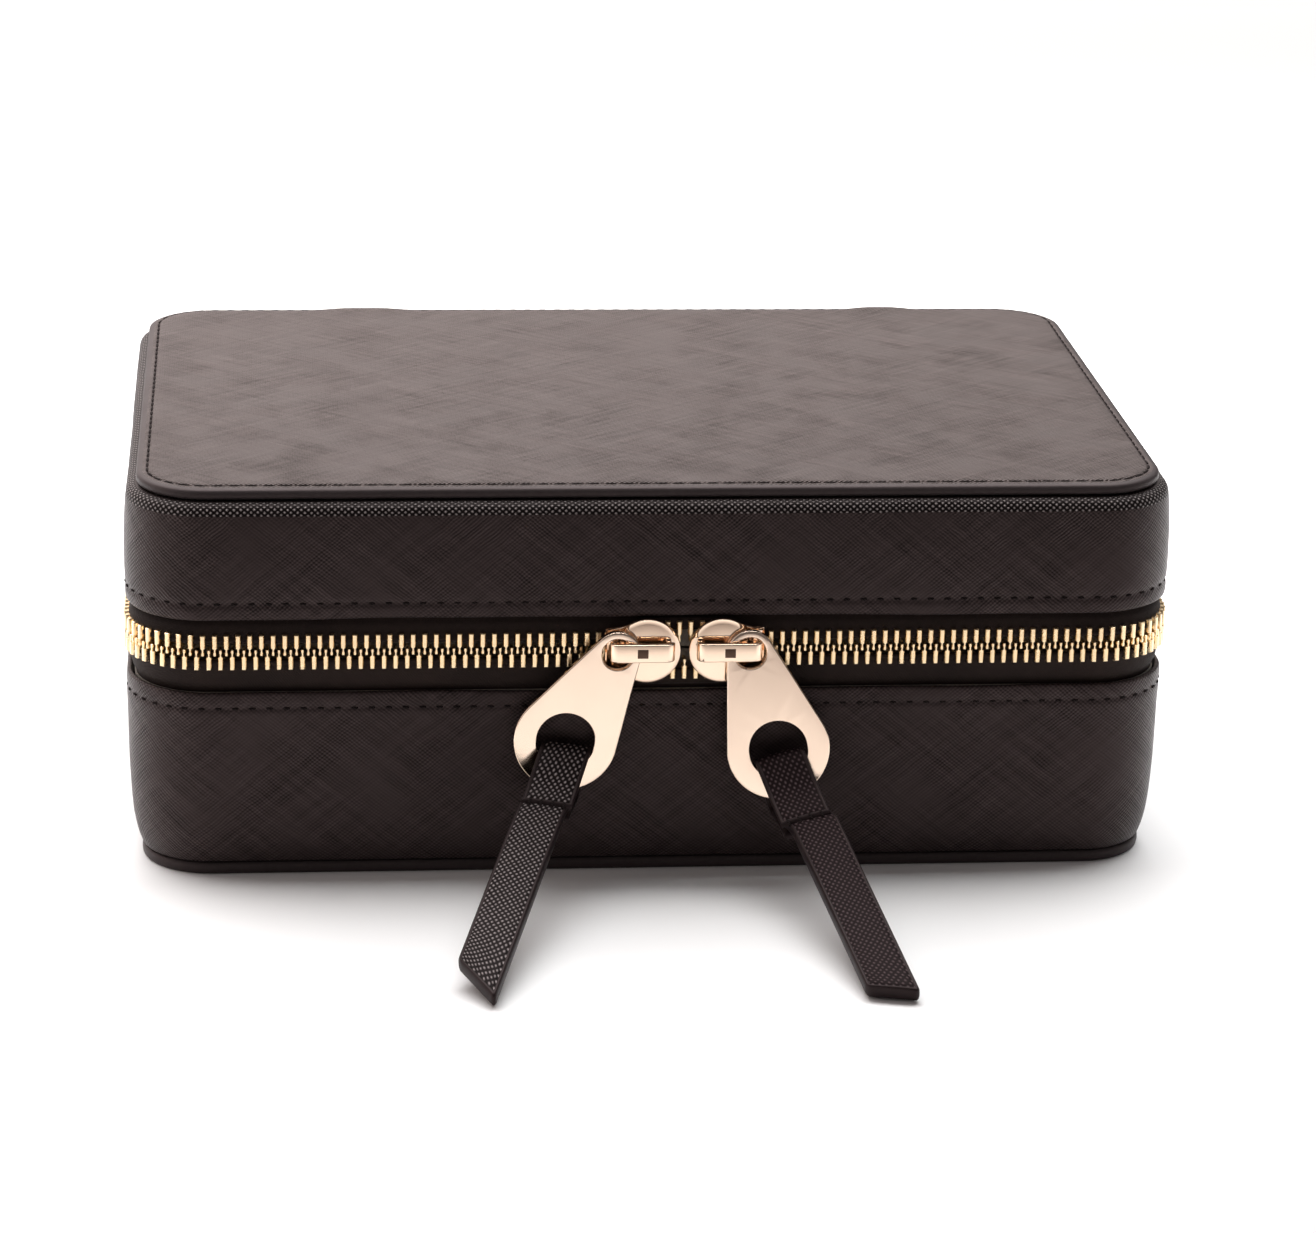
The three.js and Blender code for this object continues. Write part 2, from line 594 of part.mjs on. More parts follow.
// One strap of leather folded round the pull plate's lower rim and sewn to itself. Its side
// view is drawn along its length s, from the rim's plane, and its thickness t. Round the rim it
// lies square to the plate, and beyond the seam it turns to its own heading.
function strapSolid(root, { crossing, heading, pitch, roll, length, cut }) {
  const half = STRAP_THICKNESS / 2;
  const outer = [[LOOP_LENGTH, half], [8, 3], [4, 4.9], [1, 6.1], [-1.6, 6], [-2.6, 5.1], [-2.7, 0]];
  const inner = [[10.5, 0], [7.4, 1.6], [3.6, 3.6], [1, 4.8], [-1.1, 4.7], [-1.4, 4.4], [-1.4, 0]];
  const mirrored = (points) => points.slice(0, -1).reverse().map(([s, t]) => [s, -t]);
  const tail = [];
  for (let s = LOOP_LENGTH + STRAP_STEP; s < length - STRAP_STEP / 2; s += STRAP_STEP) {
    tail.push(s);
  }
  const outline = [
    ...outer, ...mirrored(outer),
    ...tail.map((s) => [s, -half]), [length, -half], [length, half], ...tail.reverse().map((s) => [s, half]),
  ];
  const eye = [...inner, ...mirrored(inner).slice(0, -1)];
  const shape = new THREE.Shape(outline.map(([s, t]) => new THREE.Vector2(s, t)));
  shape.holes.push(new THREE.Path(eye.map(([s, t]) => new THREE.Vector2(s, t))));
  const geometry = new THREE.ExtrudeGeometry(shape, { depth: STRAP_WIDTH, bevelEnabled: false });
  const position = geometry.getAttribute('position');
  const course = radians(heading);
  const fall = radians(pitch);
  const bank = radians(roll);
  const rimTurn = radians(crossing);
  const along = hanging(0, Math.PI / 2 - fall).applyAxisAngle(new THREE.Vector3(0, 0, 1), course);
  const rimAcross = new THREE.Vector3(Math.cos(rimTurn), 0, Math.sin(rimTurn));
  const endAcross = new THREE.Vector3(
    Math.cos(course) * Math.cos(bank), Math.sin(course) * Math.cos(bank), Math.sin(bank),
  );
  for (let i = 0; i < position.count; i += 1) {
    const thick = position.getY(i);
    const across = position.getZ(i) - STRAP_WIDTH / 2;
    const turned = THREE.MathUtils.smoothstep(position.getX(i), LOOP_LENGTH - 4, LOOP_LENGTH + STRAP_TURN);
    const atEnd = position.getX(i) > length - 1 ? 1 : 0;
    const plumb = -thick * Math.tan(fall) * (1 - turned);
    const s = position.getX(i) + plumb + atEnd * cut * (across / STRAP_WIDTH);
    const width = rimAcross.clone().lerp(endAcross, turned).normalize();
    const normal = along.clone().cross(width).normalize();
    const point = root.clone().addScaledVector(along, s);
    point.addScaledVector(width, across).addScaledVector(normal, thick);
    position.setXYZ(i, point.x, point.y, point.z);
  }
  const bare = new THREE.BufferGeometry();
  bare.setAttribute('position', position);
  return facingOut(mergeVertices(bare, 1e-4));
}

function slidersAndPulls() {
  const group = new THREE.Group();
  for (const [word, hang] of Object.entries(PULLS)) {
    const { side, x, pivotReach } = hang;
    const slider = new THREE.Group();
    slider.position.set(x, 0, ZIP_HEIGHT);
    slider.add(
      named(`slider_body_${word}`, sliderBody(side), finish.gold()),
      named(`slider_bridge_${word}`, bridge(side), finish.gold()),
    );
    const lean = side * radians(hang.lean);
    const tilt = radians(hang.tilt);
    const pivot = new THREE.Vector3(x + side * pivotReach, pullMiddle, ZIP_HEIGHT + PULL_PIVOT_RISE);
    const plate = named(`pull_plate_${word}`, pullPlate(), finish.gold());
    plate.position.copy(pivot);
    plate.rotation.set(-tilt, -lean, 0, 'YXZ');
    const root = pivot.clone().addScaledVector(hanging(lean, tilt), PULL_LENGTH);
    root.addScaledVector(hanging(radians(hang.crossing), tilt), STRAP_RIM_REACH);
    group.add(slider, plate, named(`pull_strap_${word}`, strapSolid(root, hang), finish.leather()));
  }
  return group;
}

// ---------------------------------------------------------------- the case

const jewelleryCase = new THREE.Group();
const zipRows = zip();
const base = baseShell();
base.add(baseFittings(), ...zipRows.base, ...spine());
const lid = lidShell();
lid.add(lidFittings(), ...zipRows.lid);
jewelleryCase.add(base, lid, slidersAndPulls());

export default jewelleryCase;
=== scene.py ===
"""Looks of a zipped leather jewellery case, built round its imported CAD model.

Lengths inside the shape functions are millimetres, and become metres when a mesh is made.
"""

import json
import math

import bmesh
import bpy
import numpy as np
from mathutils import Matrix, Vector


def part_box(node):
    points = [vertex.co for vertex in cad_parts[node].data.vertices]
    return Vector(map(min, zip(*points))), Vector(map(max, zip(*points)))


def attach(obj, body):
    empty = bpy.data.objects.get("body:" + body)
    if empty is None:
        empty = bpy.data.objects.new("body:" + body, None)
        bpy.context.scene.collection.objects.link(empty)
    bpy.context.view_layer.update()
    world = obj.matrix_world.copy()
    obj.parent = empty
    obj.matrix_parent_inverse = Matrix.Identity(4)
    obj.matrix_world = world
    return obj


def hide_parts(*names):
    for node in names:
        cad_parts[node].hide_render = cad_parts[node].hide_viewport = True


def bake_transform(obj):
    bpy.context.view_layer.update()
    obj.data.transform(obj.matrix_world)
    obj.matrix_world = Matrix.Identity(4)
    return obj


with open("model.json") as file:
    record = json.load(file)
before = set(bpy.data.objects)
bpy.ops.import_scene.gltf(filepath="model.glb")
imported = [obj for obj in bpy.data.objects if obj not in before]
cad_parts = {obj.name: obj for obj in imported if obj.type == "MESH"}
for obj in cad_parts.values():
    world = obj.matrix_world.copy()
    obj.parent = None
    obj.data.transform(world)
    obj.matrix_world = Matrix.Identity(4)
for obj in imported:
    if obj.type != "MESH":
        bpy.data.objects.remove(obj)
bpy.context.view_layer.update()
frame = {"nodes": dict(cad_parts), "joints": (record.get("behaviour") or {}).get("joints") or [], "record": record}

MM = 0.001


def box_mm(node):
    """The lowest and highest corners of a CAD node at rest, in millimetres."""
    low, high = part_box(node)
    return np.array(low) / MM, np.array(high) / MM


# ---- sizes, from the frame

wall_high = box_mm("base_wall_leather")[1]
lid_low = box_mm("lid_wall_leather")[0]
top_low, top_high = box_mm("lid_top_leather")
foot_high = box_mm("base_bottom_leather")[1]
spine_low, spine_high = box_mm("spine_leather")

HALF_X = wall_high[0]
HALF_Y = wall_high[1]
CORNER = 17.6
PANEL_INSET = HALF_X - top_high[0]
BASE_HEM = wall_high[2]
LID_HEM = lid_low[2]
TOP = top_high[2]
TOP_UNDER = top_low[2]
JOINTS = {joint["name"]: joint for joint in frame["joints"]}
HINGE_Z = JOINTS["lid_hinge"]["pos_m"][2] / MM
ZIP_Z = HINGE_Z + 1
STITCH_PITCH = 3.6
DISC = 7.15
TAIL_REACH = 9.1
SLIDER_X = {
    "left": box_mm("slider_body_left")[0][0] + TAIL_REACH,
    "right": box_mm("slider_body_right")[1][0] - TAIL_REACH,
}

# ---- materials


class Nodes:
    """Builds the node tree of one material, or of the world, with short calls."""

    def __init__(self, name, kind="materials", shader="Principled BSDF"):
        self.owner = getattr(bpy.data, kind).new(name)
        self.owner.use_nodes = True
        self.tree = self.owner.node_tree
        self.shader = self.tree.nodes[shader]

    def feed(self, socket, value):
        """Links another node's socket, or sets a constant."""
        if isinstance(value, bpy.types.NodeSocket):
            self.tree.links.new(value, socket)
        elif value is not None:
            socket.default_value = value

    def add(self, kind, inputs=(), **settings):
        """A new node. inputs pairs a socket's name or number with what feeds it."""
        node = self.tree.nodes.new("ShaderNode" + kind)
        for key, value in settings.items():
            setattr(node, key, value)
        for key, value in dict(inputs).items():
            self.feed(node.inputs[key], value)
        return node

    def math(self, operation, a, b=None, c=0.5):
        return self.add("Math", enumerate((a, b, c)), operation=operation).outputs[0]

    def noise(self, vector, scale, detail=3.0, roughness=0.5, output="Fac"):
        inputs = {"Vector": vector, "Scale": scale, "Detail": detail, "Roughness": roughness}
        return self.add("TexNoise", inputs).outputs[output]

    def ramp(self, value, stops):
        node = self.add("ValToRGB", {"Fac": value})
        elements = node.color_ramp.elements
        while len(elements) < len(stops):
            elements.new(0.5)
        for element, (place, colour) in zip(elements, stops):
            element.position = place
            element.color = (*colour, 1)
        return node.outputs["Color"]

    def spread(self, value, low, high, start=0.0, end=1.0):
        inputs = {"Value": value, "From Min": start, "From Max": end, "To Min": low, "To Max": high}
        return self.add("MapRange", inputs).outputs["Result"]

    def bump(self, height, distance, strength=1.0, under=None):
        inputs = {"Distance": distance, "Strength": strength, "Height": height, "Normal": under}
        return self.add("Bump", inputs).outputs["Normal"]

    def set(self, **values):
        for name, value in values.items():
            self.feed(self.shader.inputs[name.replace("_", " ")], value)
        return self.owner

    def object_place(self):
        return self.add("TexCoord").outputs["Object"]

    def grain_place(self):
        """Millimetres along the leather's own surface."""
        return self.add("UVMap", uv_map="grain").outputs["UV"]


GRAIN_ACROSS = 1.04
GRAIN_ALONG = 0.86
LEATHER_TINT = (1.0, 0.76, 0.74, 1.0)


def saffiano(name, dark, light, roughness, relief, gloss, dotted=False, scale=1.0):
    """Cross-hatched pressed leather: two families of fine slanting ridges, each line of its own strength.

    A dotted one keeps only the crossings of the ridges, as small raised beads. The colour follows the height:
    painted shade in the grooves, painted highlight on the ridges and beads.
    """
    n = Nodes(name)
    place = n.grain_place()
    wobble = n.noise(place, 0.22, 2, output="Color")
    wander = n.add("VectorMath", enumerate((wobble, (0.7, 0.7, 0), place)), operation="MULTIPLY_ADD")
    split = n.add("SeparateXYZ", {0: wander.outputs[0]}).outputs
    across = n.math("DIVIDE", split["X"], GRAIN_ACROSS * scale)
    along = n.math("DIVIDE", split["Y"], GRAIN_ALONG * scale)
    phases = (n.math("ADD", across, along), n.math("SUBTRACT", across, along))
    ridges, swells = [], []
    for family, patch in enumerate((0.07, 0.06)):
        ridge = n.math("COSINE", n.math("MULTIPLY", phases[family], 2 * math.pi))
        shift = n.add("Mapping", {"Vector": place, "Location": (31.0 * family, 17.0 * family, 0)})
        patchy = n.spread(n.noise(shift.outputs[0], patch, 3, 0.6), 0.12, 1.0, 0.32, 0.68)
        along_line = n.math("MULTIPLY", phases[1 - family], 0.03)
        across_lines = n.math("MULTIPLY", phases[family], 0.5)
        lines = n.add("CombineXYZ", {0: across_lines, 1: along_line, 2: 7.0 * family})
        streak = n.math("SUBTRACT", n.noise(lines.outputs[0], 1.0, 2, 0.6), 0.5)
        ridges.append(ridge)
        swells.append(n.math("MULTIPLY", n.math("ADD", n.math("MULTIPLY", ridge, 0.3), streak), patchy))
    if dotted:
        first, second = (n.math("MULTIPLY_ADD", ridge, 0.5) for ridge in ridges)
        weave = n.math("POWER", n.math("MULTIPLY", first, second), 1.6)
    else:
        weave = n.math("MULTIPLY_ADD", n.math("ADD", *swells), 0.75)
    pores = n.noise(place, 2.6, 4, 0.7)
    height = n.math("ADD", n.math("MULTIPLY", weave, 0.88), n.math("MULTIPLY", pores, 0.12))
    mottle = n.noise(place, 0.035, 4, 0.6)
    # colour from height: painted shade darkens the grooves and painted highlight lightens the ridges and beads;
    # the mottle is the leather's own
    tone = n.math("ADD", n.math("MULTIPLY", height, 0.9), n.math("MULTIPLY", mottle, 0.1))
    return n.set(
        Base_Color=n.ramp(tone, [(0.12, dark), (0.9, light)]),
        Roughness=n.math("ADD", n.spread(height, 0.09, -0.06), roughness),
        Normal=n.bump(height, relief, 1.0, n.bump(pores, 0.00002, 0.5)),
        Specular_IOR_Level=n.spread(height, gloss * 0.3, gloss * 2.0),
        Specular_Tint=LEATHER_TINT,
    )


def smooth_leather(name, dark, light, roughness, gloss):
    """Plain pared leather, as on the turned edges and the foot."""
    n = Nodes(name)
    place = n.object_place()
    fine = n.noise(place, 900, 5, 0.65)
    broad = n.noise(place, 60, 4, 0.6)
    return n.set(
        Base_Color=n.ramp(n.math("MULTIPLY_ADD", fine, 0.5), [(0.3, dark), (0.9, light)]),
        Roughness=n.spread(broad, roughness - 0.06, roughness + 0.08),
        Normal=n.bump(fine, 0.00004, 0.6), Specular_IOR_Level=gloss, Specular_Tint=LEATHER_TINT,
    )


def metal(name, colour, roughness, scratch):
    n = Nodes(name)
    place = n.object_place()
    cloud = n.noise(place, 140, 4, 0.6)
    stretched = n.add("Mapping", {"Vector": place, "Scale": (400, 400, 6000)}).outputs[0]
    lines = n.noise(stretched, 1.0, 3, 0.6)
    tint = n.ramp(cloud, [(0.3, [c * 0.97 for c in colour]), (0.7, [min(1.0, c * 1.02) for c in colour])])
    rough = n.spread(n.math("MULTIPLY", cloud, lines), roughness * 0.6, roughness * 2.2)
    return n.set(Base_Color=tint, Metallic=1.0, Roughness=rough, Normal=n.bump(lines, scratch, 0.3))


def cloth(name, dark, light, pitch, roughness, sheen, relief):
    """Woven or brushed textile in two crossing directions."""
    n = Nodes(name)
    place = n.object_place()
    split = n.add("SeparateXYZ", {0: place}).outputs
    lay = n.math("ADD", split["X"], split["Y"])
    warp, weft = (n.math("SINE", n.math("MULTIPLY", way, 2 * math.pi / pitch)) for way in (lay, split["Z"]))
    fuzz = n.noise(place, 1500, 4, 0.7)
    nap = n.noise(place, 45, 4, 0.6)
    height = n.math("ADD", n.math("MULTIPLY", n.math("MULTIPLY", warp, weft), 0.3), fuzz)
    tone = n.math("ADD", n.math("MULTIPLY", nap, 0.6), n.math("MULTIPLY", fuzz, 0.4))
    return n.set(
        Base_Color=n.ramp(tone, [(0.3, dark), (0.75, light)]), Roughness=roughness,
        Normal=n.bump(height, relief, 0.8), Sheen_Weight=sheen, Sheen_Roughness=0.4, Specular_IOR_Level=0.2,
    )


def thread_material(name, dark, light):
    n = Nodes(name)
    inputs = {"Vector": n.object_place(), "Scale": 900, "Distortion": 1.5}
    twist = n.add("TexWave", inputs, bands_direction="DIAGONAL").outputs["Fac"]
    return n.set(
        Base_Color=n.ramp(twist, [(0.1, dark), (0.9, light)]), Roughness=0.7,
        Normal=n.bump(twist, 0.00006, 0.7), Specular_IOR_Level=0.05,
    )


def pressed_board(name):
    n = Nodes(name)
    flecks = n.noise(n.object_place(), 700, 6, 0.75)
    colour = n.ramp(flecks, [(0.35, (0.2, 0.18, 0.155)), (0.65, (0.36, 0.33, 0.29))])
    return n.set(Base_Color=colour, Roughness=0.9, Normal=n.bump(flecks, 0.0001, 0.5))


def silvered_glass(name):
    n = Nodes(name)
    haze = n.noise(n.object_place(), 30, 3)
    colour = n.ramp(haze, [(0.3, (0.86, 0.89, 0.9)), (0.7, (0.9, 0.92, 0.93))])
    return n.set(Base_Color=colour, Metallic=1.0, Roughness=n.spread(haze, 0.01, 0.035))


WALL_LEATHER = saffiano("wall_saffiano", (0.0018, 0.0013, 0.0013), (0.044, 0.032, 0.0315), 0.4, 0.0002, 0.23)
# The lid wall's rounded shoulder in a much lighter copy of the wall leather: a painted highlight, its beads as
# bright sparkle.
SHOULDER_HIGHLIGHT_LEATHER = saffiano(
    "shoulder_painted_highlight_saffiano", (0.001, 0.0008, 0.0008), (0.3, 0.27, 0.265), 0.42, 0.0003, 0.3,
    dotted=True, scale=1.35,
)
# A lighter copy of the walls' saffiano: the top face painted lighter than the walls, painted light.
TOP_LEATHER = saffiano("top_saffiano", (0.002, 0.0015, 0.0014), (0.062, 0.048, 0.043), 0.43, 0.0005, 0.33)
# The straps are one leather in two copies: the left painted much lighter than the right, a lit and a shaded copy,
# and in both the beads painted light as painted highlights.
STRAP_LIT_AND_SHADED_LEATHERS = {
    word: saffiano(f"strap_lit_and_shaded_saffiano_{word}", dark, light, roughness, relief, gloss, dotted=True, scale=1.5)
    for word, dark, light, roughness, relief, gloss in (
        ("left", (0.006, 0.0045, 0.0045), (0.42, 0.365, 0.365), 0.42, 0.0003, 0.14),
        ("right", (0.01, 0.0065, 0.007), (0.085, 0.058, 0.062), 0.45, 0.00015, 0.12),
    )
}
EDGE_LEATHER = smooth_leather("edge_leather", (0.016, 0.0125, 0.0125), (0.04, 0.033, 0.0335), 0.45, 0.22)
PAINTED_EDGE = smooth_leather("painted_edge", (0.008, 0.0055, 0.006), (0.018, 0.0125, 0.013), 0.45, 0.16)
THREAD = thread_material("thread", (0.006, 0.0045, 0.0045), (0.022, 0.016, 0.0155))
TAPE = cloth("zip_tape_weave", (0.010, 0.0055, 0.0045), (0.026, 0.0155, 0.0125), 0.0006, 0.8, 0.05, 0.00012)
SUEDE = cloth("lining_suede", (0.28, 0.215, 0.165), (0.42, 0.335, 0.265), 0.0004, 0.95, 0.5, 0.00008)
BOARD = pressed_board("greyboard")
TEETH_METAL = metal("zip_gold", (0.97, 0.76, 0.48), 0.25, 0.00001)
GOLD = metal("pale_rose_gold", (0.95, 0.74, 0.57), 0.09, 0.000003)
PLATE_GOLD = metal("satin_rose_gold", (0.93, 0.74, 0.59), 0.13, 0.000002)
# A dark metal standing in for the shade inside the bridge's hole: painted shade.
HOLE_SHADE_METAL = metal("painted_hole_shade", (0.09, 0.055, 0.04), 0.3, 0.00001)
MIRROR = silvered_glass("mirror_glass")

# ---- mesh helpers


def link_object(name, data):
    obj = bpy.data.objects.new(name, data)
    bpy.context.scene.collection.objects.link(obj)
    return obj


def object_of(name, mesh, materials, smooth):
    """Gives a finished mesh its materials, its smooth shading and a place in the scene."""
    for material in materials:
        mesh.materials.append(material)
    mesh.shade_smooth()
    mesh.set_sharp_from_angle(angle=math.radians(smooth))
    mesh.update()
    return link_object(name, mesh)


def make_mesh(name, points, faces, materials, face_slots=None, corner_uv=None, smooth=60):
    """A mesh object from millimetre points. corner_uv holds one (u, v) for each face corner."""
    mesh = bpy.data.meshes.new(name)
    mesh.from_pydata((np.asarray(points, float) * MM).tolist(), [], [list(face) for face in faces])
    if corner_uv is not None:
        layer = mesh.uv_layers.new(name="grain")
        layer.data.foreach_set("uv", np.asarray(corner_uv, np.float32).ravel())
    if face_slots is not None:
        mesh.polygons.foreach_set("material_index", np.asarray(face_slots, np.int32))
    return object_of(name, mesh, materials, smooth)


def fit(obj, body, stands_for=None):
    """Says which body carries a piece and which CAD node it takes the place of, and hides that node."""
    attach(obj, body)
    if stands_for:
        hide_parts(stands_for)


def ring_faces(rings, count):
    """The faces of a stack of equal rings of points, capped at both ends."""
    faces = []
    for start in range(0, (rings - 1) * count, count):
        after = start + count
        for k in range(count):
            k2 = (k + 1) % count
            faces.append((start + k, start + k2, after + k2, after + k))
    last = (rings - 1) * count
    return faces + [range(count - 1, -1, -1), range(last, last + count)]


def grid(name, points, materials, u=None, v=None, closed_u=True, closed_v=True, slot_at=None, smooth=60):
    """A mesh from an (n, m, 3) array of points: n places along a path, m round or along a section."""
    n, m = points.shape[:2]
    faces, uv, slots = [], [], []
    for i in range(n if closed_u else n - 1):
        i2 = (i + 1) % n
        for j in range(m if closed_v else m - 1):
            j2 = (j + 1) % m
            faces.append((i * m + j, i2 * m + j, i2 * m + j2, i * m + j2))
            if u is not None:
                uv += [(u[i], v[j]), (u[i + 1], v[j]), (u[i + 1], v[j + 1]), (u[i], v[j + 1])]
            slots.append(slot_at(j) if slot_at else 0)
    if closed_v and not closed_u:
        for end, order in ((0, range(m)), (n - 1, range(m - 1, -1, -1))):
            faces.append([end * m + j for j in order])
            slots.append(slots[0])
            if u is not None:
                uv += [(u[end], v[j]) for j in order]
    return face_outward(make_mesh(name, points.reshape(-1, 3), faces, materials, slots, uv or None, smooth))


def face_outward(obj):
    """Flips a closed mesh if it is inside out."""
    mesh = obj.data
    mesh.calc_loop_triangles()
    co = np.empty(len(mesh.vertices) * 3, np.float32)
    mesh.vertices.foreach_get("co", co)
    tri = np.empty(len(mesh.loop_triangles) * 3, np.int32)
    mesh.loop_triangles.foreach_get("vertices", tri)
    a, b, c = (co.reshape(-1, 3)[tri.reshape(-1, 3)[:, k]] for k in range(3))
    if np.einsum("ij,ij->i", a, np.cross(b, c)).sum() < 0:
        mesh.flip_normals()
    return obj


def catmull(points, steps):
    """A smooth curve through the points, as an array."""
    pts = np.asarray(points, float)
    last = len(pts) - 1
    curve = []
    for i in range(last):
        p0, p1, p2, p3 = (pts[min(max(i + k, 0), last)] for k in (-1, 0, 1, 2))
        for s in range(steps):
            t = s / steps
            curve.append(0.5 * (2 * p1 + (p2 - p0) * t + (2 * p0 - 5 * p1 + 4 * p2 - p3) * t ** 2
                                + (3 * p1 - p0 - 3 * p2 + p3) * t ** 3))
    return np.array(curve + [pts[-1]])


def run_lengths(points, closed):
    """Distance along a polyline to each point, with one more entry for the way back when closed."""
    pts = np.vstack([points, points[:1]]) if closed else np.asarray(points)
    return np.concatenate([[0], np.cumsum(np.linalg.norm(np.diff(pts, axis=0), axis=1))])


def along_outline(s, run, at, out):
    """The place and the outward direction at a distance along an outline."""
    place, outward = (np.array([np.interp(s, run, line[:, c]) for c in range(2)]) for line in (at, out))
    return place, outward / np.linalg.norm(outward)


def carried(at, out, section):
    """An (inset, height) section carried round an outline, as an array of points for grid."""
    points = np.empty((len(at), len(section), 3))
    for j, (inset, height) in enumerate(section):
        points[:, j, :2] = at - out * inset
        points[:, j, 2] = height
    return points


def rounded_outline(half_x, half_y, corner, step=2.0, corner_steps=14):
    """Points and outward directions of a rounded rectangle, anticlockwise from the middle of the back."""
    places, outs = [], []
    for side_x, side_y, start in ((-1, 1, 90), (-1, -1, 180), (1, -1, 270), (1, 1, 0)):
        middle = np.array([side_x * (half_x - corner), side_y * (half_y - corner)])
        for k in range(corner_steps + 1):
            angle = math.radians(start + 90 * k / corner_steps)
            out = np.array([math.cos(angle), math.sin(angle)])
            places.append(middle + corner * out)
            outs.append(out)
    dense_places, dense_outs = [], []
    for i, (a, out) in enumerate(zip(places, outs)):
        b, next_out = places[(i + 1) % len(places)], outs[(i + 1) % len(places)]
        gap = np.linalg.norm(b - a)
        cuts = max(1, round(gap / step)) if gap > 4 else 1
        for k in range(cuts):
            between = out + (next_out - out) * k / cuts
            dense_places.append(a + (b - a) * k / cuts)
            dense_outs.append(between / np.linalg.norm(between))
    places, outs = np.array(dense_places), np.array(dense_outs)
    back = np.where(places[:, 1] > half_y - 1e-6)[0]
    start = back[np.argmin(np.abs(places[back, 0]))]
    return np.roll(places, -start, axis=0), np.roll(outs, -start, axis=0)


WALL_AT, WALL_OUT = rounded_outline(HALF_X, HALF_Y, CORNER)
WALL_RUN = run_lengths(WALL_AT, True)


def unevenness(run, height, size, seed):
    """A slow waviness, so that hand-laid leather isn't ruler straight."""
    wave = np.sin(run * 0.031 + seed) + 0.6 * np.sin(run * 0.083 + 2.1 * seed + height * 0.09)
    return size * (wave + 0.4 * np.sin(run * 0.19 + height * 0.21 + 3.7 * seed))


def sweep_wall(name, section, materials, uneven, seed, hem_wave, hem_z, slot_at=None):
    """Carries a closed (inset, height) section round the walls, with the waviness of laid leather."""
    section = np.asarray(section, float)
    run = WALL_RUN[:-1]
    points = carried(WALL_AT, WALL_OUT, section)
    for j, (inset, height) in enumerate(section):
        if inset < 0.9:
            points[:, j, :2] -= WALL_OUT * unevenness(run, height, uneven, seed)[:, None]
        near_hem = max(0.0, 1 - abs(height - hem_z) / 6)
        points[:, j, 2] += near_hem * unevenness(run, 0, hem_wave, seed + 2)
    return grid(name, points, materials, u=WALL_RUN, v=run_lengths(section, True), slot_at=slot_at)


def rounded_box(name, low, high, radius, materials, segments=3):
    """A block with rolled edges, for dividers and small parts."""
    low, high = np.array(low, float), np.array(high, float)
    bm = bmesh.new()
    bmesh.ops.create_cube(bm, size=1.0)
    for vert in bm.verts:
        vert.co = Vector(((low + high) / 2 + np.array(vert.co) * (high - low)) * MM)
    bmesh.ops.bevel(bm, geom=bm.edges[:], offset=radius * MM, segments=segments, profile=0.5, affect="EDGES")
    layer = bm.loops.layers.uv.new("grain")
    for face in bm.faces:
        normal = face.normal
        drop = max(range(3), key=lambda k: abs(normal[k]))
        for loop in face.loops:
            loop[layer].uv = [loop.vert.co[k] / MM for k in range(3) if k != drop]
    mesh = bpy.data.meshes.new(name)
    bm.to_mesh(mesh)
    bm.free()
    return object_of(name, mesh, materials, 50)


def place_copies(name, unit_points, unit_faces, frames, materials, smooth=50):
    """Joins many copies of a small shape. Each frame is (origin, x axis, y axis, z axis)."""
    unit_points = np.asarray(unit_points, float)
    points, faces = [], []
    for origin, ax, ay, az in frames:
        start = len(points) * len(unit_points)
        basis = np.array([ax, ay, az])
        points.append(np.asarray(origin) + unit_points @ basis)
        faces += [[start + k for k in face] for face in unit_faces]
    return make_mesh(name, np.concatenate(points), faces, materials, smooth=smooth)


# ---- leather walls and panels

GROOVE = 0.22                   # depth of the line that the stitches pull into the leather
HEM_STITCH = 3.5                # stitch line above or below the hem's edge
SHOULDER_FROM, SHOULDER_TO = 6, 17      # the stretch of the lid wall's section with the beaded grain, painted much lighter there as the shoulder's painted highlight
ROLLED_EDGE = 9                 # how many points of the top panel's profile are its rolled edge


def lid_wall():
    z = LID_HEM
    top = TOP_UNDER
    outside = catmull([
        (4.4, top - 0.32), (2.9, top - 0.3), (1.7, top - 0.55), (0.8, top - 1.2), (0.3, top - 2.4),
        (0.02, top - 4.8), (-0.22, top - 9), (-0.38, top - 14), (-0.4, z + 6.6),
        (-0.34, z + HEM_STITCH + 1.2), (-0.34 + GROOVE, z + HEM_STITCH), (-0.34, z + HEM_STITCH - 1.2),
        (-0.28, z + 0.9), (-0.06, z + 0.22), (0.35, z), (0.85, z + 0.08), (1.12, z + 0.5),
    ], 4)
    inside = [(1.2, z + 1.5), (1.2, top - 6), (2.3, top - 2.6), (4.4, top - 1.5)]
    obj = sweep_wall(
        "lid_wall", np.vstack([outside, inside]), [WALL_LEATHER, SHOULDER_HIGHLIGHT_LEATHER], 0.07, 1.3, 0.16, z,
        lambda j: 1 if SHOULDER_FROM <= j < SHOULDER_TO else 0,
    )
    fit(obj, "lid", "lid_wall_leather")


def base_wall():
    z = BASE_HEM
    foot = foot_high[2]
    outside = catmull([
        (1.1, z - 0.5), (0.85, z - 0.08), (0.4, z), (-0.02, z - 0.22), (-0.2, z - 0.9),
        (-0.24, z - HEM_STITCH + 1.2), (-0.24 + GROOVE, z - HEM_STITCH), (-0.22, z - HEM_STITCH - 1.2),
        (-0.1, z - 8), (0.0, 28), (0.1, 22), (0.35, 16), (0.62, 12), (0.95, 9), (1.3, 7),
        (1.75, 5.2), (2.15, 4), (2.5, foot + 0.45), (3.1, foot + 0.12), (4.2, foot + 0.1),
    ], 4)
    inside = [(4.3, foot + 0.9), (3.4, 4.6), (2.1, 9), (1.5, 16), (1.2, 26), (1.2, z - 1.5)]
    obj = sweep_wall("base_wall", np.vstack([outside, inside]), [WALL_LEATHER], 0.06, 4.1, 0.14, z)
    fit(obj, "base", "base_wall_leather")


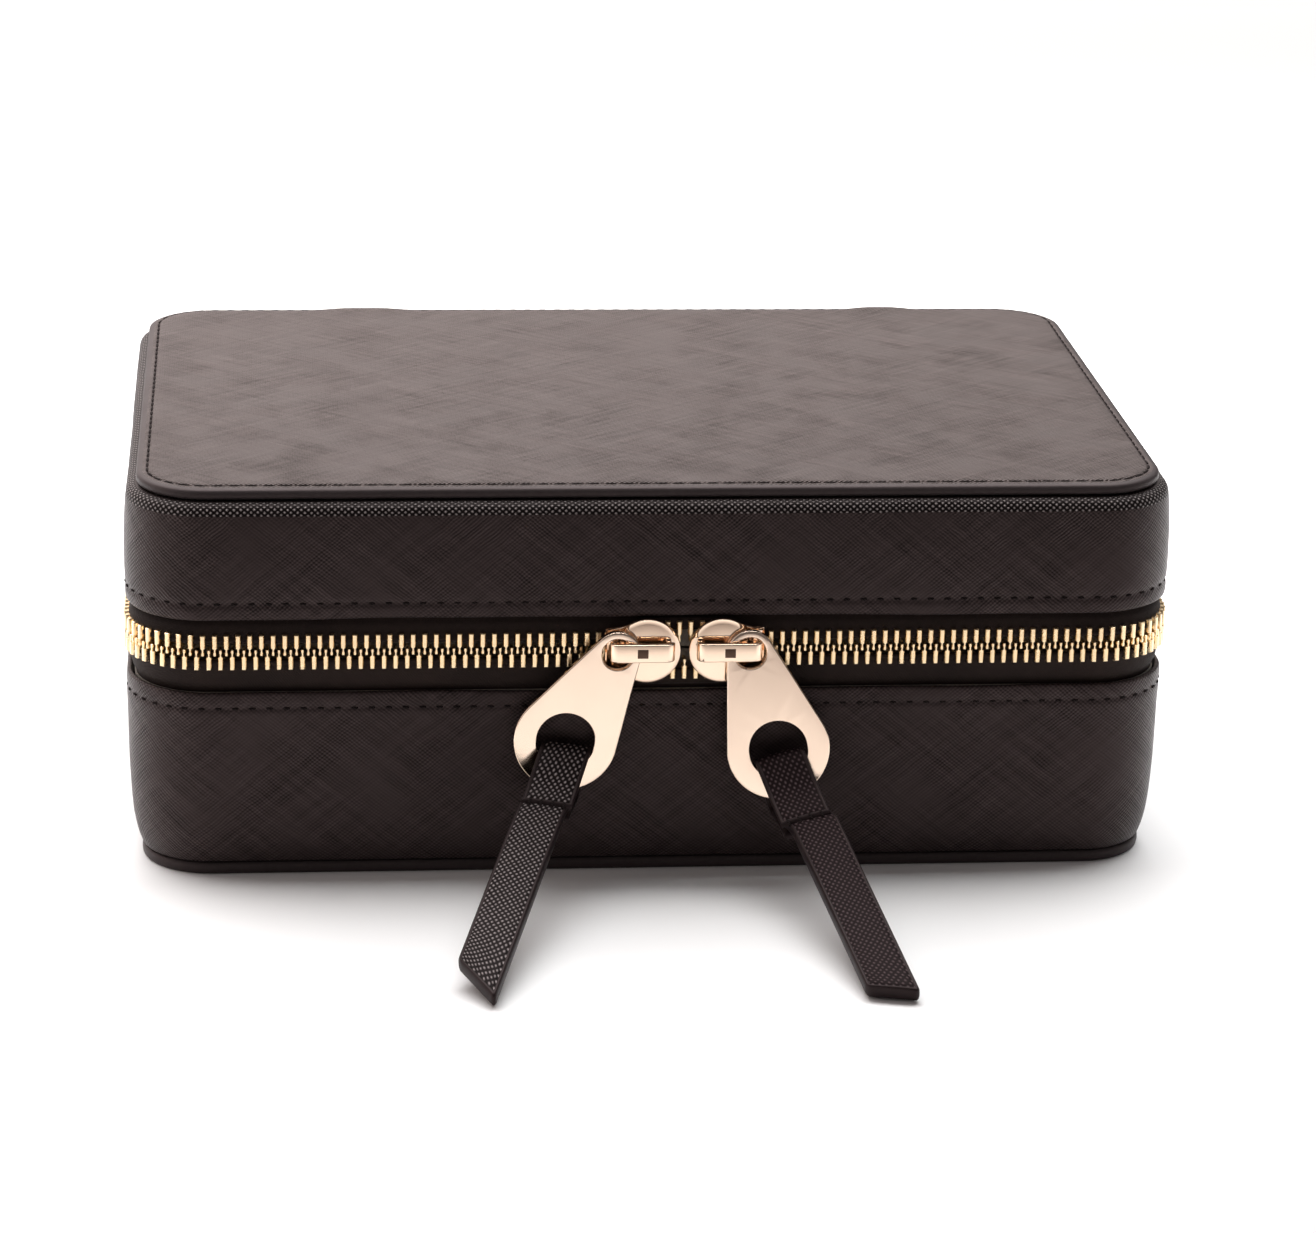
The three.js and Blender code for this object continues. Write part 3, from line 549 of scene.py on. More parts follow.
def panel(name, half, corner, profile, materials, slot_at, flat_at, lift=None):
    """A covered board. profile is (inset, height) from the hidden side, round the edge, to the middle."""
    at, out = rounded_outline(half[0], half[1], corner)
    profile = np.asarray(profile, float)
    n, m = len(at), len(profile)
    drop = run_lengths(profile, False)
    points = carried(at, out, profile)
    if lift:
        points[:, :, 2] += lift(points[:, :, 0], points[:, :, 1])
    flat = np.empty((n, m, 2))
    for j, (inset, height) in enumerate(profile):
        unrolled = inset if j >= flat_at else profile[flat_at][0] - (drop[flat_at] - drop[j])
        flat[:, j] = at - out * unrolled
    faces, uv, slots = [], [], []
    for i in range(n):
        i2 = (i + 1) % n
        for j in range(m - 1):
            corners = ((i, j), (i2, j), (i2, j + 1), (i, j + 1))
            faces.append([a * m + b for a, b in corners])
            uv += [flat[a, b] for a, b in corners]
            slots.append(slot_at(j))
    for j, order in ((m - 1, range(n)), (0, range(n - 1, -1, -1))):
        faces.append([i * m + j for i in order])
        uv += [flat[i, j] for i in order]
        slots.append(slot_at(m - 1 if j else 0))
    return face_outward(make_mesh(name, points.reshape(-1, 3), faces, materials, slots, uv, 55))


STITCH_INSET = 2.4              # top stitch line inside the panel's edge


def spine_ridges(x, y):
    """The leather stands a little proud where the spine's two ends are turned in at the back."""
    near_back = smoothstep(y, top_high[1] - 7, top_high[1] - 1.5)
    ridge = sum(np.exp(-((x - middle) / width) ** 4) for middle, width in ((-58.5, 9.0), (67.5, 6.5)))
    return 0.5 * ridge * near_back


def top_panel():
    edge = [
        (4.5, TOP_UNDER), (1.0, TOP_UNDER), (0.35, TOP_UNDER + 0.12), (0.05, TOP_UNDER + 0.5),
        (0.0, TOP_UNDER + 1.0), (0.04, TOP - 1.3), (0.16, TOP - 0.95), (0.42, TOP - 0.68), (0.85, TOP - 0.48),
        (1.35, TOP - 0.34), (STITCH_INSET - 0.4, TOP - 0.24), (STITCH_INSET, TOP - 0.46),
        (STITCH_INSET + 0.3, TOP - 0.12), (STITCH_INSET + 0.7, TOP - 0.01), (5, TOP), (9, TOP), (13.5, TOP),
    ]
    obj = panel(
        "top_panel", top_high, CORNER - PANEL_INSET, edge, [TOP_LEATHER, EDGE_LEATHER],
        lambda j: 1 if j < ROLLED_EDGE else 0, ROLLED_EDGE, spine_ridges,
    )
    fit(obj, "lid", "lid_top_leather")


def bottom_panel():
    high = foot_high[2]
    edge = [
        (4.5, high), (1.1, high), (0.45, high - 0.1), (0.1, high - 0.4), (0.0, high - 0.95),
        (0.0, 1.0), (0.12, 0.42), (0.45, 0.1), (1.0, 0), (4, 0), (9, 0), (13.5, 0),
    ]
    obj = panel("bottom_panel", foot_high, CORNER - PANEL_INSET, edge, [EDGE_LEATHER], lambda j: 0, 8)
    fit(obj, "base", "base_bottom_leather")


# ---- stitches


def stitch_shape(length, radius):
    """A short rounded thread, sunk at both ends, lying along x with its top in z."""
    half = [(-0.5, 0.25, -0.5), (-0.42, 0.8, -0.12), (-0.2, 1.0, 0.0)]
    rings = half + [(-place, width, sink) for place, width, sink in half[::-1]]
    sides = 6
    points = []
    for place, width, sink in rings:
        for angle in np.linspace(0, 2 * math.pi, sides, endpoint=False):
            z = radius * (math.sin(angle) * width * 0.8 + sink)
            points.append((place * length, math.cos(angle) * radius * width, z))
    return points, ring_faces(len(rings), sides)


def stitch_frames(at, out, spot, skip=None):
    """Frames for stitches along a closed outline. spot(place, out) gives a point and the direction up."""
    run = run_lengths(at, True)
    count = int(round(run[-1] / STITCH_PITCH))
    closed_at, closed_out = (np.vstack([line, line[:1]]) for line in (at, out))
    frames = []
    for k in range(count):
        place, outward = along_outline((k + 0.5) * run[-1] / count, run, closed_at, closed_out)
        if skip and skip(place):
            continue
        origin, up = spot(place, outward)
        along = np.array([-outward[1], outward[0], 0.0])
        along = along + 0.05 * math.sin(k * 2.4) * np.cross(up, along)
        along /= np.linalg.norm(along)
        frames.append((origin, along, np.cross(up, along), up))
    return frames


def stitches():
    long_unit = stitch_shape(STITCH_PITCH * 0.72, 0.33)
    short_unit = stitch_shape(STITCH_PITCH * 0.4, 0.28)
    top_line = rounded_outline(*(top_high[:2] - STITCH_INSET), CORNER - PANEL_INSET - STITCH_INSET)

    def on_top(place, outward):
        return np.array([*place, TOP - 0.3]), np.array([0, 0, 1.0])

    def on_wall(height, proud):
        def spot(place, outward):
            side = np.array([*outward, 0.0])
            return np.array([*place, height]) + side * proud, side
        return spot

    def behind_spine(place):
        return place[1] > HALF_Y - 1 and abs(place[0]) < spine_high[0] - 1

    wall_line = (WALL_AT, WALL_OUT)
    low_spot, high_spot = on_wall(BASE_HEM - HEM_STITCH, 0.1), on_wall(LID_HEM + HEM_STITCH, 0.2)
    for name, unit, line, spot, skip, body in (
        ("top_stitches", long_unit, top_line, on_top, None, "lid"),
        ("lid_hem_stitches", short_unit, wall_line, high_spot, behind_spine, "lid"),
        ("base_hem_stitches", short_unit, wall_line, low_spot, behind_spine, "base"),
    ):
        fit(place_copies(name, *unit, stitch_frames(*line, spot, skip), [THREAD]), body)


# ---- zip

ZIP_END = 58.0
TEETH_DEPTH = 0.7               # middle of the chain below the wall's surface
TOOTH_PITCH = 2.46
TOOTH_WIDTH = 1.24
TOOTH_TALL = 4.75
TOOTH_THICK = 2.7
MESH_OVERLAP = 0.8              # how far a tooth's head passes the middle of the chain
UPPER_PARTING = 2.3
LOWER_PARTING = 2.9
PARTING_RAMP = 6.0


def smoothstep(x, low, high):
    t = np.clip((x - low) / (high - low), 0, 1)
    return t * t * (3 - 2 * t)


def parting(x, on_front):
    rise = smoothstep(x, SLIDER_X["left"] - PARTING_RAMP, SLIDER_X["left"] + 1)
    fall = smoothstep(x, SLIDER_X["right"] - 1, SLIDER_X["right"] + PARTING_RAMP)
    return np.where(on_front, rise * (1 - fall), 0)


def zip_line(depth):
    """The zip's path at a depth: points, outward directions and distance, from back left to back right."""
    at, out = rounded_outline(HALF_X - depth, HALF_Y - depth, CORNER - depth, step=1.0, corner_steps=18)
    start = np.argmax((at[:, 1] > HALF_Y - depth - 1e-6) & (at[:, 0] < -ZIP_END))
    end = len(at) - 1 - np.argmax(((at[:, 1] > HALF_Y - depth - 1e-6) & (at[:, 0] > ZIP_END))[::-1])
    at, out = at[start:end + 1], out[start:end + 1]
    return at, out, run_lengths(at, False)


def tooth_shape():
    """One zip element seen from the front in x and z, root at z 0, head up, rounded over its front."""
    w, t = TOOTH_WIDTH / 2, TOOTH_THICK / 2
    neck = TOOTH_TALL - 1.75
    right = np.array([
        (w * 0.9, 0), (w, 0.12), (w, neck), (w * 0.42, neck + 0.2), (w * 0.42, neck + 0.75),
        (w * 0.68, neck + 1.0), (w * 0.62, TOOTH_TALL - 0.15), (w * 0.3, TOOTH_TALL),
    ])
    outline = np.vstack([right[:1] * (-1, 1), right, right[:0:-1] * (-1, 1)])
    points = []
    for shrink, depth in ((0.5, -t), (0.26, -t + 0.12), (0.06, -t + 0.42), (0.0, t - 0.3), (0.2, t)):
        across = outline[:, 0] * (1 - shrink)
        tall = np.clip(outline[:, 1], shrink * 0.5, TOOTH_TALL - shrink * 0.4)
        points += [(x, depth, z) for x, z in zip(across, tall)]
    return points, ring_faces(5, len(outline))


def zip_teeth():
    at, out, run = zip_line(TEETH_DEPTH)
    count = int(run[-1] / TOOTH_PITCH)
    for word, sign, offset, shift, body in (
        ("upper", 1, 0.0, UPPER_PARTING, "lid"), ("lower", -1, 0.5, LOWER_PARTING, "base"),
    ):
        frames = []
        for k in range(count):
            (x, y), outward = along_outline((k + 0.25 + offset) * TOOTH_PITCH, run, at, out)
            before, part, after = parting(np.array([x - 0.5, x, x + 0.5]), outward[1] < -0.999) * shift
            root = ZIP_Z + sign * (TOOTH_TALL - MESH_OVERLAP + part)
            along = np.array([-outward[1], outward[0], (after - before) * sign])
            along /= np.linalg.norm(along)
            side = np.array([*outward, 0.0])
            up = np.cross(along, side)
            up *= -sign if up[2] > 0 else sign
            frames.append(((x, y, root), along, -side, up))
        obj = place_copies(f"zip_teeth_{word}_row", *tooth_shape(), frames, [TEETH_METAL], smooth=35)
        fit(obj, body, f"zip_teeth_{word}")


def zip_tape():
    """A woven tape that bows out from behind the hem to a corded edge inside the teeth."""
    at, out, run = zip_line(0.0)
    half = 0.3
    for word, sign, shift, hem, body in (
        ("upper", 1, UPPER_PARTING, LID_HEM, "lid"), ("lower", -1, LOWER_PARTING, BASE_HEM, "base"),
    ):
        points = []
        for (x, y), outward in zip(at, out):
            part = float(parting(x, outward[1] < -0.999)) * shift
            tip = ZIP_Z + sign * (MESH_OVERLAP + 1.5 + part)
            root = ZIP_Z + sign * (TOOTH_TALL - MESH_OVERLAP + part)
            middle = catmull([
                (2.15, hem + sign * 0.25), (1.95, hem - sign * 0.6), (1.2, (hem + root) / 2), (0.78, root),
                (TEETH_DEPTH, tip + sign * 0.9),
            ], 3)
            cord = [(-0.72, 0.35), (-0.6, -0.3), (0, -0.6), (0.6, -0.3), (0.72, 0.35)]
            section = [(d - half, z) for d, z in middle]
            section += [(TEETH_DEPTH + d, tip + sign * z) for d, z in cord]
            section += [(d + half, z) for d, z in middle[::-1]]
            points.append([(x - outward[0] * d, y - outward[1] * d, z) for d, z in section])
        obj = grid(f"zip_tape_{word}_weave", np.array(points), [TAPE], closed_u=False, smooth=70)
        fit(obj, body, f"zip_tape_{word}")


# ---- sliders and pull plates

TAIL_SINK = 0.45                # the slider's plate bends back towards its tail
DOME = 0.5                      # and its disc is domed by this much at the rim


def layered(name, rings, materials, smooth=40):
    """A closed solid from equal rings of 3-D points, capped at both ends."""
    rings = [np.asarray(ring, float) for ring in rings]
    faces = ring_faces(len(rings), len(rings[0]))
    return face_outward(make_mesh(name, np.concatenate(rings), faces, materials, smooth=smooth))


def inset_outline(outline, amount):
    """Moves a closed 2-D outline inward along its own normals."""
    outline = np.asarray(outline, float)
    after = np.roll(outline, -1, axis=0)
    tangent = after - np.roll(outline, 1, axis=0)
    tangent /= np.linalg.norm(tangent, axis=1)[:, None]
    normal = np.stack([tangent[:, 1], -tangent[:, 0]], axis=1)
    area = np.sum(outline[:, 0] * after[:, 1] - after[:, 0] * outline[:, 1])
    return outline - normal * amount * (1 if area > 0 else -1)


def slider_outline(disc, reach, half_tail, side):
    """A disc with a tail towards side, seen from the front in x and z."""
    turn = math.radians(62)
    angles = np.linspace(turn, 2 * math.pi - turn, 56)
    arc = [(disc * math.cos(a), disc * math.sin(a)) for a in angles]
    neck_lower = catmull([arc[-1], (reach * 0.62, -half_tail - 0.55), (reach - 0.7, -half_tail)], 5)[1:]
    neck_upper = catmull([(reach - 0.7, half_tail), (reach * 0.62, half_tail + 0.55), arc[0]], 5)[:-1]
    tail = [(reach - 0.2, 0.2 - half_tail), (reach, 0.7 - half_tail)]
    tail += [(x, -z) for x, z in tail[::-1]]
    return np.vstack([arc, neck_lower, tail, neck_upper]) * (side, 1)


def slider(side_word, side):
    low, high = box_mm(f"slider_body_{side_word}")
    middle_x = SLIDER_X[side_word]
    middle_z = (low[2] + high[2]) / 2
    face_y = low[1]
    inner_y = -HALF_Y - 0.9
    back_y = -HALF_Y + 2.3
    front_outline = slider_outline(DISC, TAIL_REACH, 4.9, side)
    back_outline = slider_outline(5.6, TAIL_REACH, 4.4, side)

    def ring(inset, y, outline=front_outline, dome=0.0, scale=1.0):
        x, z = (inset_outline(outline, inset) * scale).T
        sink = TAIL_SINK * smoothstep(x * side, 2.5, TAIL_REACH) + dome * (x ** 2 + z ** 2) / DISC ** 2
        return np.stack([middle_x + x, y + sink, middle_z + z], axis=1)

    front = layered(f"slider_front_{side_word}", [
        ring(0.5, inner_y), ring(0.12, inner_y - 0.1), ring(0, inner_y - 0.3), ring(0, face_y + 0.62),
        ring(0.14, face_y + 0.4), ring(0.5, face_y + 0.06, dome=DOME),
        *(ring(1.1, face_y, dome=DOME, scale=scale) for scale in (1, 0.75, 0.5, 0.25, 0.05)),
    ], [GOLD], smooth=60)
    back_rings = ((0.2, 0), (0, 0.2), (0, 0.8), (0.25, 1.0))
    back = layered(f"slider_back_{side_word}", [
        ring(inset, back_y + y - TAIL_SINK, back_outline) for inset, y in back_rings
    ], [GOLD], smooth=50)
    post_x = middle_x - side * 4
    post_points = [(1.5, 0), (0.5, 1.15), (-0.8, 1.0), (-1.5, 0), (-0.8, -1.0), (0.5, -1.15)]
    post = layered(f"slider_post_{side_word}", [
        [(post_x - side * x, y, middle_z + z) for x, z in post_points] for y in (inner_y - 0.3, back_y + 0.3)
    ], [GOLD])
    pieces = [front, back, post]
    flange = catmull([(side * 8.9, 4.55), (side * 4.5, 5.2), (side * 0.5, 6.3)], 6)
    flange_section = ((-0.2, 0.35), (0.75, 0.3), (0.95, 0.05), (0.75, -0.3), (-0.2, -0.35))
    for word, up in (("lower", -1), ("upper", 1)):
        rings = [
            [(middle_x + x, inner_y + a, middle_z + up * (z + b)) for a, b in flange_section]
            for x, z in flange
        ]
        pieces.append(layered(f"slider_flange_{side_word}_{word}", rings, [GOLD]))
    for obj in pieces:
        replaced = f"slider_body_{side_word}" if obj is front else None
        fit(obj, f"slider_{side_word}", replaced)


def bridge(side_word):
    """The arched bar that holds the pull plate: a rounded flat bar bent down at both ends."""
    low, high = box_mm(f"slider_bridge_{side_word}")
    bar_y = low[1] + 0.65
    foot_y = high[1] + 0.6
    left, right = low[0] + 0.75, high[0] - 0.75
    bend = [(0, foot_y), (0, foot_y - 1.2), (0.12, bar_y + 0.75), (0.9, bar_y + 0.05), (2.2, bar_y - 0.02)]
    path = catmull([(left + x, y) for x, y in bend] + [(right - x, y) for x, y in bend[::-1]], 5)
    middle_z = (low[2] + high[2]) / 2
    half_tall, half_thick, round_ = (high[2] - low[2]) / 2, 0.65, 0.28
    tangents = np.gradient(path, axis=0)
    tangents /= np.linalg.norm(tangents, axis=1)[:, None]
    rings = []
    for (x, y), (tx, ty) in zip(path, tangents):
        lower_leg = 1 - smoothstep(foot_y - y, 1.2, 2.2)
        tall = half_tall - lower_leg * (half_tall - LEG_HALF_TALL)
        ring = []
        for cz, cn, start in ((1, 1, 0), (-1, 1, 90), (-1, -1, 180), (1, -1, 270)):
            for a in np.radians(np.arange(4) * 30 + start):
                z = cz * (tall - round_) + round_ * math.cos(a)
                n = cn * (half_thick - round_) + round_ * math.sin(a)
                ring.append((x - ty * n, y + tx * n, middle_z - lower_leg * LEG_DROP + z))
        rings.append(ring)
    obj = layered(f"bridge_{side_word}", rings, [GOLD], smooth=50)
    fit(obj, f"slider_{side_word}", f"slider_bridge_{side_word}")
    middle_x = (left + right) / 2
    # A dark block on the bar's front where its hole is: painted shade in place of the hole's shadow.
    shade_block = rounded_box(
        f"painted_hole_shade_{side_word}", (middle_x - 1.15, bar_y - half_thick - 0.05, middle_z - 1.0),
        (middle_x + 1.15, bar_y, middle_z + 1.0), 0.04, [HOLE_SHADE_METAL],
    )
    fit(shade_block, f"slider_{side_word}")


LEG_HALF_TALL = 1.3            # the bridge's legs are lower than its bar, to pass the plate's hole
LEG_DROP = 0.4
PULL_LENGTH = 22.2
PULL_SMALL, PULL_SMALL_HOLE = 5.0, 3.4
PULL_BIG, PULL_BIG_HOLE = 11.1, 6.2
PULL_THICKNESS = 1.6
PULL_LEAN = {"left": 29.3, "right": 16.8}
PULL_TILT = {"left": 0.0, "right": 4.5}


def arc_points(radius, middle_z, start, end, count, closed=False):
    turn = np.linspace(start, end, count, endpoint=not closed)
    return np.stack([radius * np.cos(turn), middle_z + radius * np.sin(turn)], axis=1)


def pull_plate(side_word, side):
    """A flat teardrop of polished metal with two round holes and softly broken edges."""
    pivot = Vector(np.array(JOINTS[f"pull_{side_word}_swing"]["pos_m"]) / MM)
    lean = math.radians(PULL_LEAN[side_word]) * side
    tilt = math.radians(PULL_TILT[side_word])
    turn_to_place = Matrix.Rotation(-lean, 3, "Y") @ Matrix.Rotation(-tilt, 3, "X")
    tangent = math.acos((PULL_BIG - PULL_SMALL) / PULL_LENGTH)
    up, whole = math.pi / 2, 2 * math.pi
    small = arc_points(PULL_SMALL, 0, up - tangent, up + tangent, 30)
    big = arc_points(PULL_BIG, -PULL_LENGTH, up + tangent, up - tangent + whole, 66)
    sides = [
        [(1 - f) * start + f * end for f in (0.03, 0.2, 0.5, 0.8, 0.97)]
        for start, end in ((small[-1], big[0]), (big[-1], small[0]))
    ]
    shapes = [
        np.vstack([small, sides[0], big, sides[1]]),
        arc_points(PULL_SMALL_HOLE, 0, 0, whole, 40, closed=True),
        arc_points(PULL_BIG_HOLE, -PULL_LENGTH, 0, whole, 56, closed=True),
    ]
    half, soft = PULL_THICKNESS / 2, 0.32
    steps = [(soft, half), (soft * 0.3, half - soft * 0.3), (0, half - soft)]
    steps += [(inset, -y) for inset, y in steps[::-1]]
    bm = bmesh.new()
    rims = ([], [])
    for index, shape in enumerate(shapes):
        rings = []
        for inset, y in steps:
            flat = inset_outline(shape, inset if index == 0 else -inset)
            rings.append([bm.verts.new((turn_to_place @ Vector((x, y, z)) + pivot) * MM) for x, z in flat])
        for a, b in zip(rings[:-1], rings[1:]):
            for k in range(len(a)):
                k2 = (k + 1) % len(a)
                bm.faces.new((a[k], a[k2], b[k2], b[k]))
        for rim, ring in zip(rims, (rings[0], rings[-1])):
            rim += [bm.edges.get((ring[k], ring[(k + 1) % len(ring)])) for k in range(len(ring))]
    for rim in rims:
        bmesh.ops.triangle_fill(bm, use_beauty=True, use_dissolve=False, edges=rim)
    bmesh.ops.recalc_face_normals(bm, faces=bm.faces[:])
    mesh = bpy.data.meshes.new(f"pull_{side_word}")
    bm.to_mesh(mesh)
    bm.free()
    obj = object_of(f"pull_{side_word}", mesh, [PLATE_GOLD], 50)
    obj.modifiers.new("even_faces", "WEIGHTED_NORMAL").keep_sharp = True
    fit(obj, f"pull_{side_word}", f"pull_plate_{side_word}")


# ---- straps

STRAP_WIDTH = 10.3
STRAP_HALF_THICK = 1.6
STRAP_REACH = 7.6               # from the middle of the plate's big hole to the strap's root
STRAP_TURN_FROM, STRAP_TURN_TO = 9.0, 35.0
CREASE = 0.95                   # a pressed line this far inside the painted edges
CREASE_STEPS = [CREASE + step for step in (-0.17, -0.08, 0, 0.1, 0.2)]
EDGE_STEPS = [0, 0.03, 0.12, 0.28, 0.46, 0.64, *CREASE_STEPS, 1.6, 2.3]
STRAPS = {
    "left": {
        "crossing": -9.0, "heading": -17.8, "pitch": 18.15, "roll": -4.6,
        "length": 68.9, "cut": 9.6, "seam": 13.2, "offset": -0.7,
    },
    "right": {
        "crossing": 16.0, "heading": 11.5, "pitch": 17.95, "roll": 8.0,
        "length": 69.9, "cut": 5.0, "seam": 15.3, "offset": 1.4,
    },
}


def hanging(swing, tilt):
    """The direction of something that hangs, swung sideways and tipped away from the wall."""
    return np.array([math.sin(swing) * math.cos(tilt), -math.sin(tilt), -math.cos(swing) * math.cos(tilt)])


def strap_place(side_word, side, turns):
    """Gives a function from (along, across, height) on the strap to a point in space."""
    hang = STRAPS[side_word]
    lean = math.radians(PULL_LEAN[side_word]) * side
    tilt = math.radians(PULL_TILT[side_word])
    turns_by = ("crossing", "heading", "pitch", "roll")
    crossing, heading, pitch, roll = (math.radians(hang[key]) for key in turns_by)
    root = np.array(JOINTS[f"pull_{side_word}_swing"]["pos_m"]) / MM
    root = root + PULL_LENGTH * hanging(lean, tilt) + STRAP_REACH * hanging(crossing, tilt)
    flat = math.cos(pitch)
    along = np.array([math.sin(heading) * flat, -math.cos(heading) * flat, -math.sin(pitch)])
    rim = np.array([math.cos(crossing), 0, math.sin(crossing)])
    end = np.array([math.cos(heading) * math.cos(roll), math.sin(heading) * math.cos(roll), math.sin(roll)])

    def place(s, across, t):
        turned = float(smoothstep(s, STRAP_TURN_FROM, STRAP_TURN_TO)) if turns else 0.0
        plumb = -t * math.tan(pitch) * (1 - turned)
        near_end = max(0.0, (s - (hang["length"] - 14)) / 14)
        s = s + plumb + near_end * hang["cut"] * across / STRAP_WIDTH
        if turns:
            across = across + hang["offset"] * float(smoothstep(s, hang["seam"] - 5, hang["seam"] + 1.5))
        width = rim * (1 - turned) + end * turned
        width /= np.linalg.norm(width)
        normal = np.cross(along, width)
        normal /= np.linalg.norm(normal)
        return root + along * s + width * across + normal * t

    return place


def strip(name, path, half_thick, width, place, leather, round_start, tip, side_view_up, stretch=1.0):
    """A flat leather strip with rounded painted edges and a pressed line round its upper face.

    path holds (s, t) points in the strap's side view. side_view_up gives each one's normal.
    """
    run = run_lengths(path, False)
    total = run[-1]
    half = width / 2
    left = [d - half for d in EDGE_STEPS + [3.2, 4.2]]
    columns = np.array(left + [0.0] + [-x for x in left[::-1]])
    points = []
    for i, ((s, t), up) in enumerate(zip(path, side_view_up)):
        left_of_tip = total - run[i]
        to_end = left_of_tip * stretch
        if round_start:
            to_end = min(to_end, run[i])
        narrow = half
        if left_of_tip < tip:
            narrow = half - (tip - math.sqrt(max(0.0, tip ** 2 - (tip - left_of_tip) ** 2)))
        upper, lower = [], []
        for column in columns:
            across = column * narrow / half
            d = min(narrow - abs(across), to_end)
            edge = (1 - max(0.0, 1 - d / 0.62) ** 2.6) ** (1 / 2.6) if d > 0 else 0.0
            line = 0.16 * math.exp(-((d - CREASE) / 0.2) ** 2)
            bulge = 0.12 * (1 - (across / half) ** 2)
            for ring, lift in (
                (upper, half_thick[i] * edge + bulge * edge - line), (lower, -half_thick[i] * edge),
            ):
                ring.append(place(s + up[0] * lift, across, t + up[1] * lift))
        points.append(upper + lower[::-1][1:-1])
    across_run = list(columns) + list(columns[::-1][1:-1]) + [columns[0]]

    def finish_of(j):
        middle = (across_run[j] + across_run[j + 1]) / 2
        return 0 if j < len(columns) - 1 and abs(middle) < half - CREASE + 0.1 else 1

    obj = grid(
        name, np.array(points), [leather, PAINTED_EDGE], u=run, v=across_run, closed_u=False,
        slot_at=finish_of, smooth=50,
    )
    grain = obj.data.uv_layers["grain"].data
    for polygon in obj.data.polygons:
        from_start = np.mean([grain[k].uv[0] for k in polygon.loop_indices])
        near_start = round_start and from_start < CREASE - 0.1
        if near_start or (total - from_start) * stretch < CREASE - 0.1:
            polygon.material_index = 1
    return obj


def graded(length, start_fine):
    """Distances along a strip, closer together near its finished ends."""
    head = EDGE_STEPS if start_fine else [0.0]
    tail = [length - d for d in EDGE_STEPS[::-1]]
    inner = np.linspace(head[-1], tail[0], max(3, int(tail[0] - head[-1])))[1:-1]
    return np.array([*head, *inner, *tail])


def strap(side_word, side):
    hang = STRAPS[side_word]
    seam = hang["seam"]
    leather = STRAP_LIT_AND_SHADED_LEATHERS[side_word]
    place = strap_place(side_word, side, False)
    body_from = 10.8
    stations = graded(hang["length"] - body_from, False) + body_from
    body = strip(
        f"strap_{side_word}", np.stack([stations, np.zeros(len(stations))], axis=1),
        1.0 + (STRAP_HALF_THICK - 1.0) * smoothstep(stations, seam - 1.5, seam + 0.8), STRAP_WIDTH,
        strap_place(side_word, side, True), leather, False, 1.3, np.tile([0.0, 1.0], (len(stations), 1)),
        math.cos(math.atan(hang["cut"] / STRAP_WIDTH)),
    )
    bend = [(8, 2.5), (4, 4.3), (1.2, 5.45), (-0.7, 5.4), (-1.75, 4.5), (-2.0, 2.4)]
    centre = catmull([
        (seam, 1.42), (seam - 2.2, 1.62), *bend, (-2.05, 0), *((s, -t) for s, t in bend[::-1]),
        (seam - 2.2, -1.62), (seam - 0.4, -1.5),
    ], 8)
    centre_run = run_lengths(centre, False)
    stations = graded(centre_run[-1], True)
    path = np.stack([np.interp(stations, centre_run, centre[:, k]) for k in range(2)], axis=1)
    tangent = np.gradient(path, axis=0)
    tangent /= np.linalg.norm(tangent, axis=1)[:, None]
    ups = np.stack([tangent[:, 1], -tangent[:, 0]], axis=1)
    loop = strip(
        f"strap_loop_{side_word}", path, np.full(len(path), 0.62), STRAP_WIDTH + 0.6, place, leather,
        True, 0, ups,
    )
    frames = []
    for across in (-3.7, -1.3, 1.2, 3.6):
        at = place(seam + 0.1, across, 1.95)
        along = place(seam + 1.1, across + 0.15, 1.5) - at
        along /= np.linalg.norm(along)
        sideways = np.cross([0, 0, 1.0], along)
        sideways /= np.linalg.norm(sideways)
        frames.append((at, along, sideways, np.cross(along, sideways)))
    fit(body, f"strap_{side_word}", f"pull_strap_{side_word}")
    tacks = place_copies(f"strap_tacks_{side_word}", *stitch_shape(1.9, 0.34), frames, [THREAD])
    fit(tacks, f"strap_{side_word}")
    root, joined = (tuple(place(s, 0, 0) * MM) for s in (-1.0, body_from - 0.8))
    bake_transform(loop)
    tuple(root)
    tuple(joined)


# ---- spine

SOFT_STEPS = [0, 0.05, 0.2, 0.45, 0.8, 1.6, 2.0, 2.4, 2.8, 3.4]
SPINE_STITCH = 2.2              # stitch line inside the spine's edge


def finer_ends(low, high, steps, inner):
    """Stations from low to high, closer together near both ends."""
    return np.array([low + d for d in steps] + list(inner) + [high - d for d in steps[::-1]])


def sheet_block(name, low, high, z_stations, edge, materials, puff=0.0):
    """An upright leather or cloth sheet with softly rounded edges, dense in z."""
    x0, x1 = low[0], high[0]
    columns = finer_ends(x0, x1, SOFT_STEPS + [5], np.linspace(x0 + 9, x1 - 9, 24))
    z0, z1 = z_stations[0], z_stations[-1]
    middle, half = (low[1] + high[1]) / 2, (high[1] - low[1]) / 2
    points = []
    for z in z_stations:
        front, back = [], []
        for column in columns:
            d = min(column - x0, x1 - column, z - z0, z1 - z)
            soft = math.sqrt(max(0.0, 1 - max(0.0, 1 - d / edge) ** 2))
            line = 0.16 * math.exp(-((d - SPINE_STITCH) / 0.3) ** 2)
            back.append((column, middle + half * soft + puff * soft - line, z))
            front.append((column, middle - half * soft, z))
        points.append(back + front[::-1][1:-1])
    v = [*columns, *columns[::-1][1:-1], columns[0]]
    return grid(name, np.array(points), materials, u=z_stations, v=v, closed_u=False, smooth=50)


def bend_at_hinge(obj, y, reach):
    """Bakes a sheet's placement into its mesh; the hinge line's ends, reach each way, are worked out but the sheet
    is not bent.
    """
    start, end = ((0, y * MM, (HINGE_Z + way * reach) * MM) for way in (-1, 1))
    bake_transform(obj)
    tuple(start)
    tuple(end)


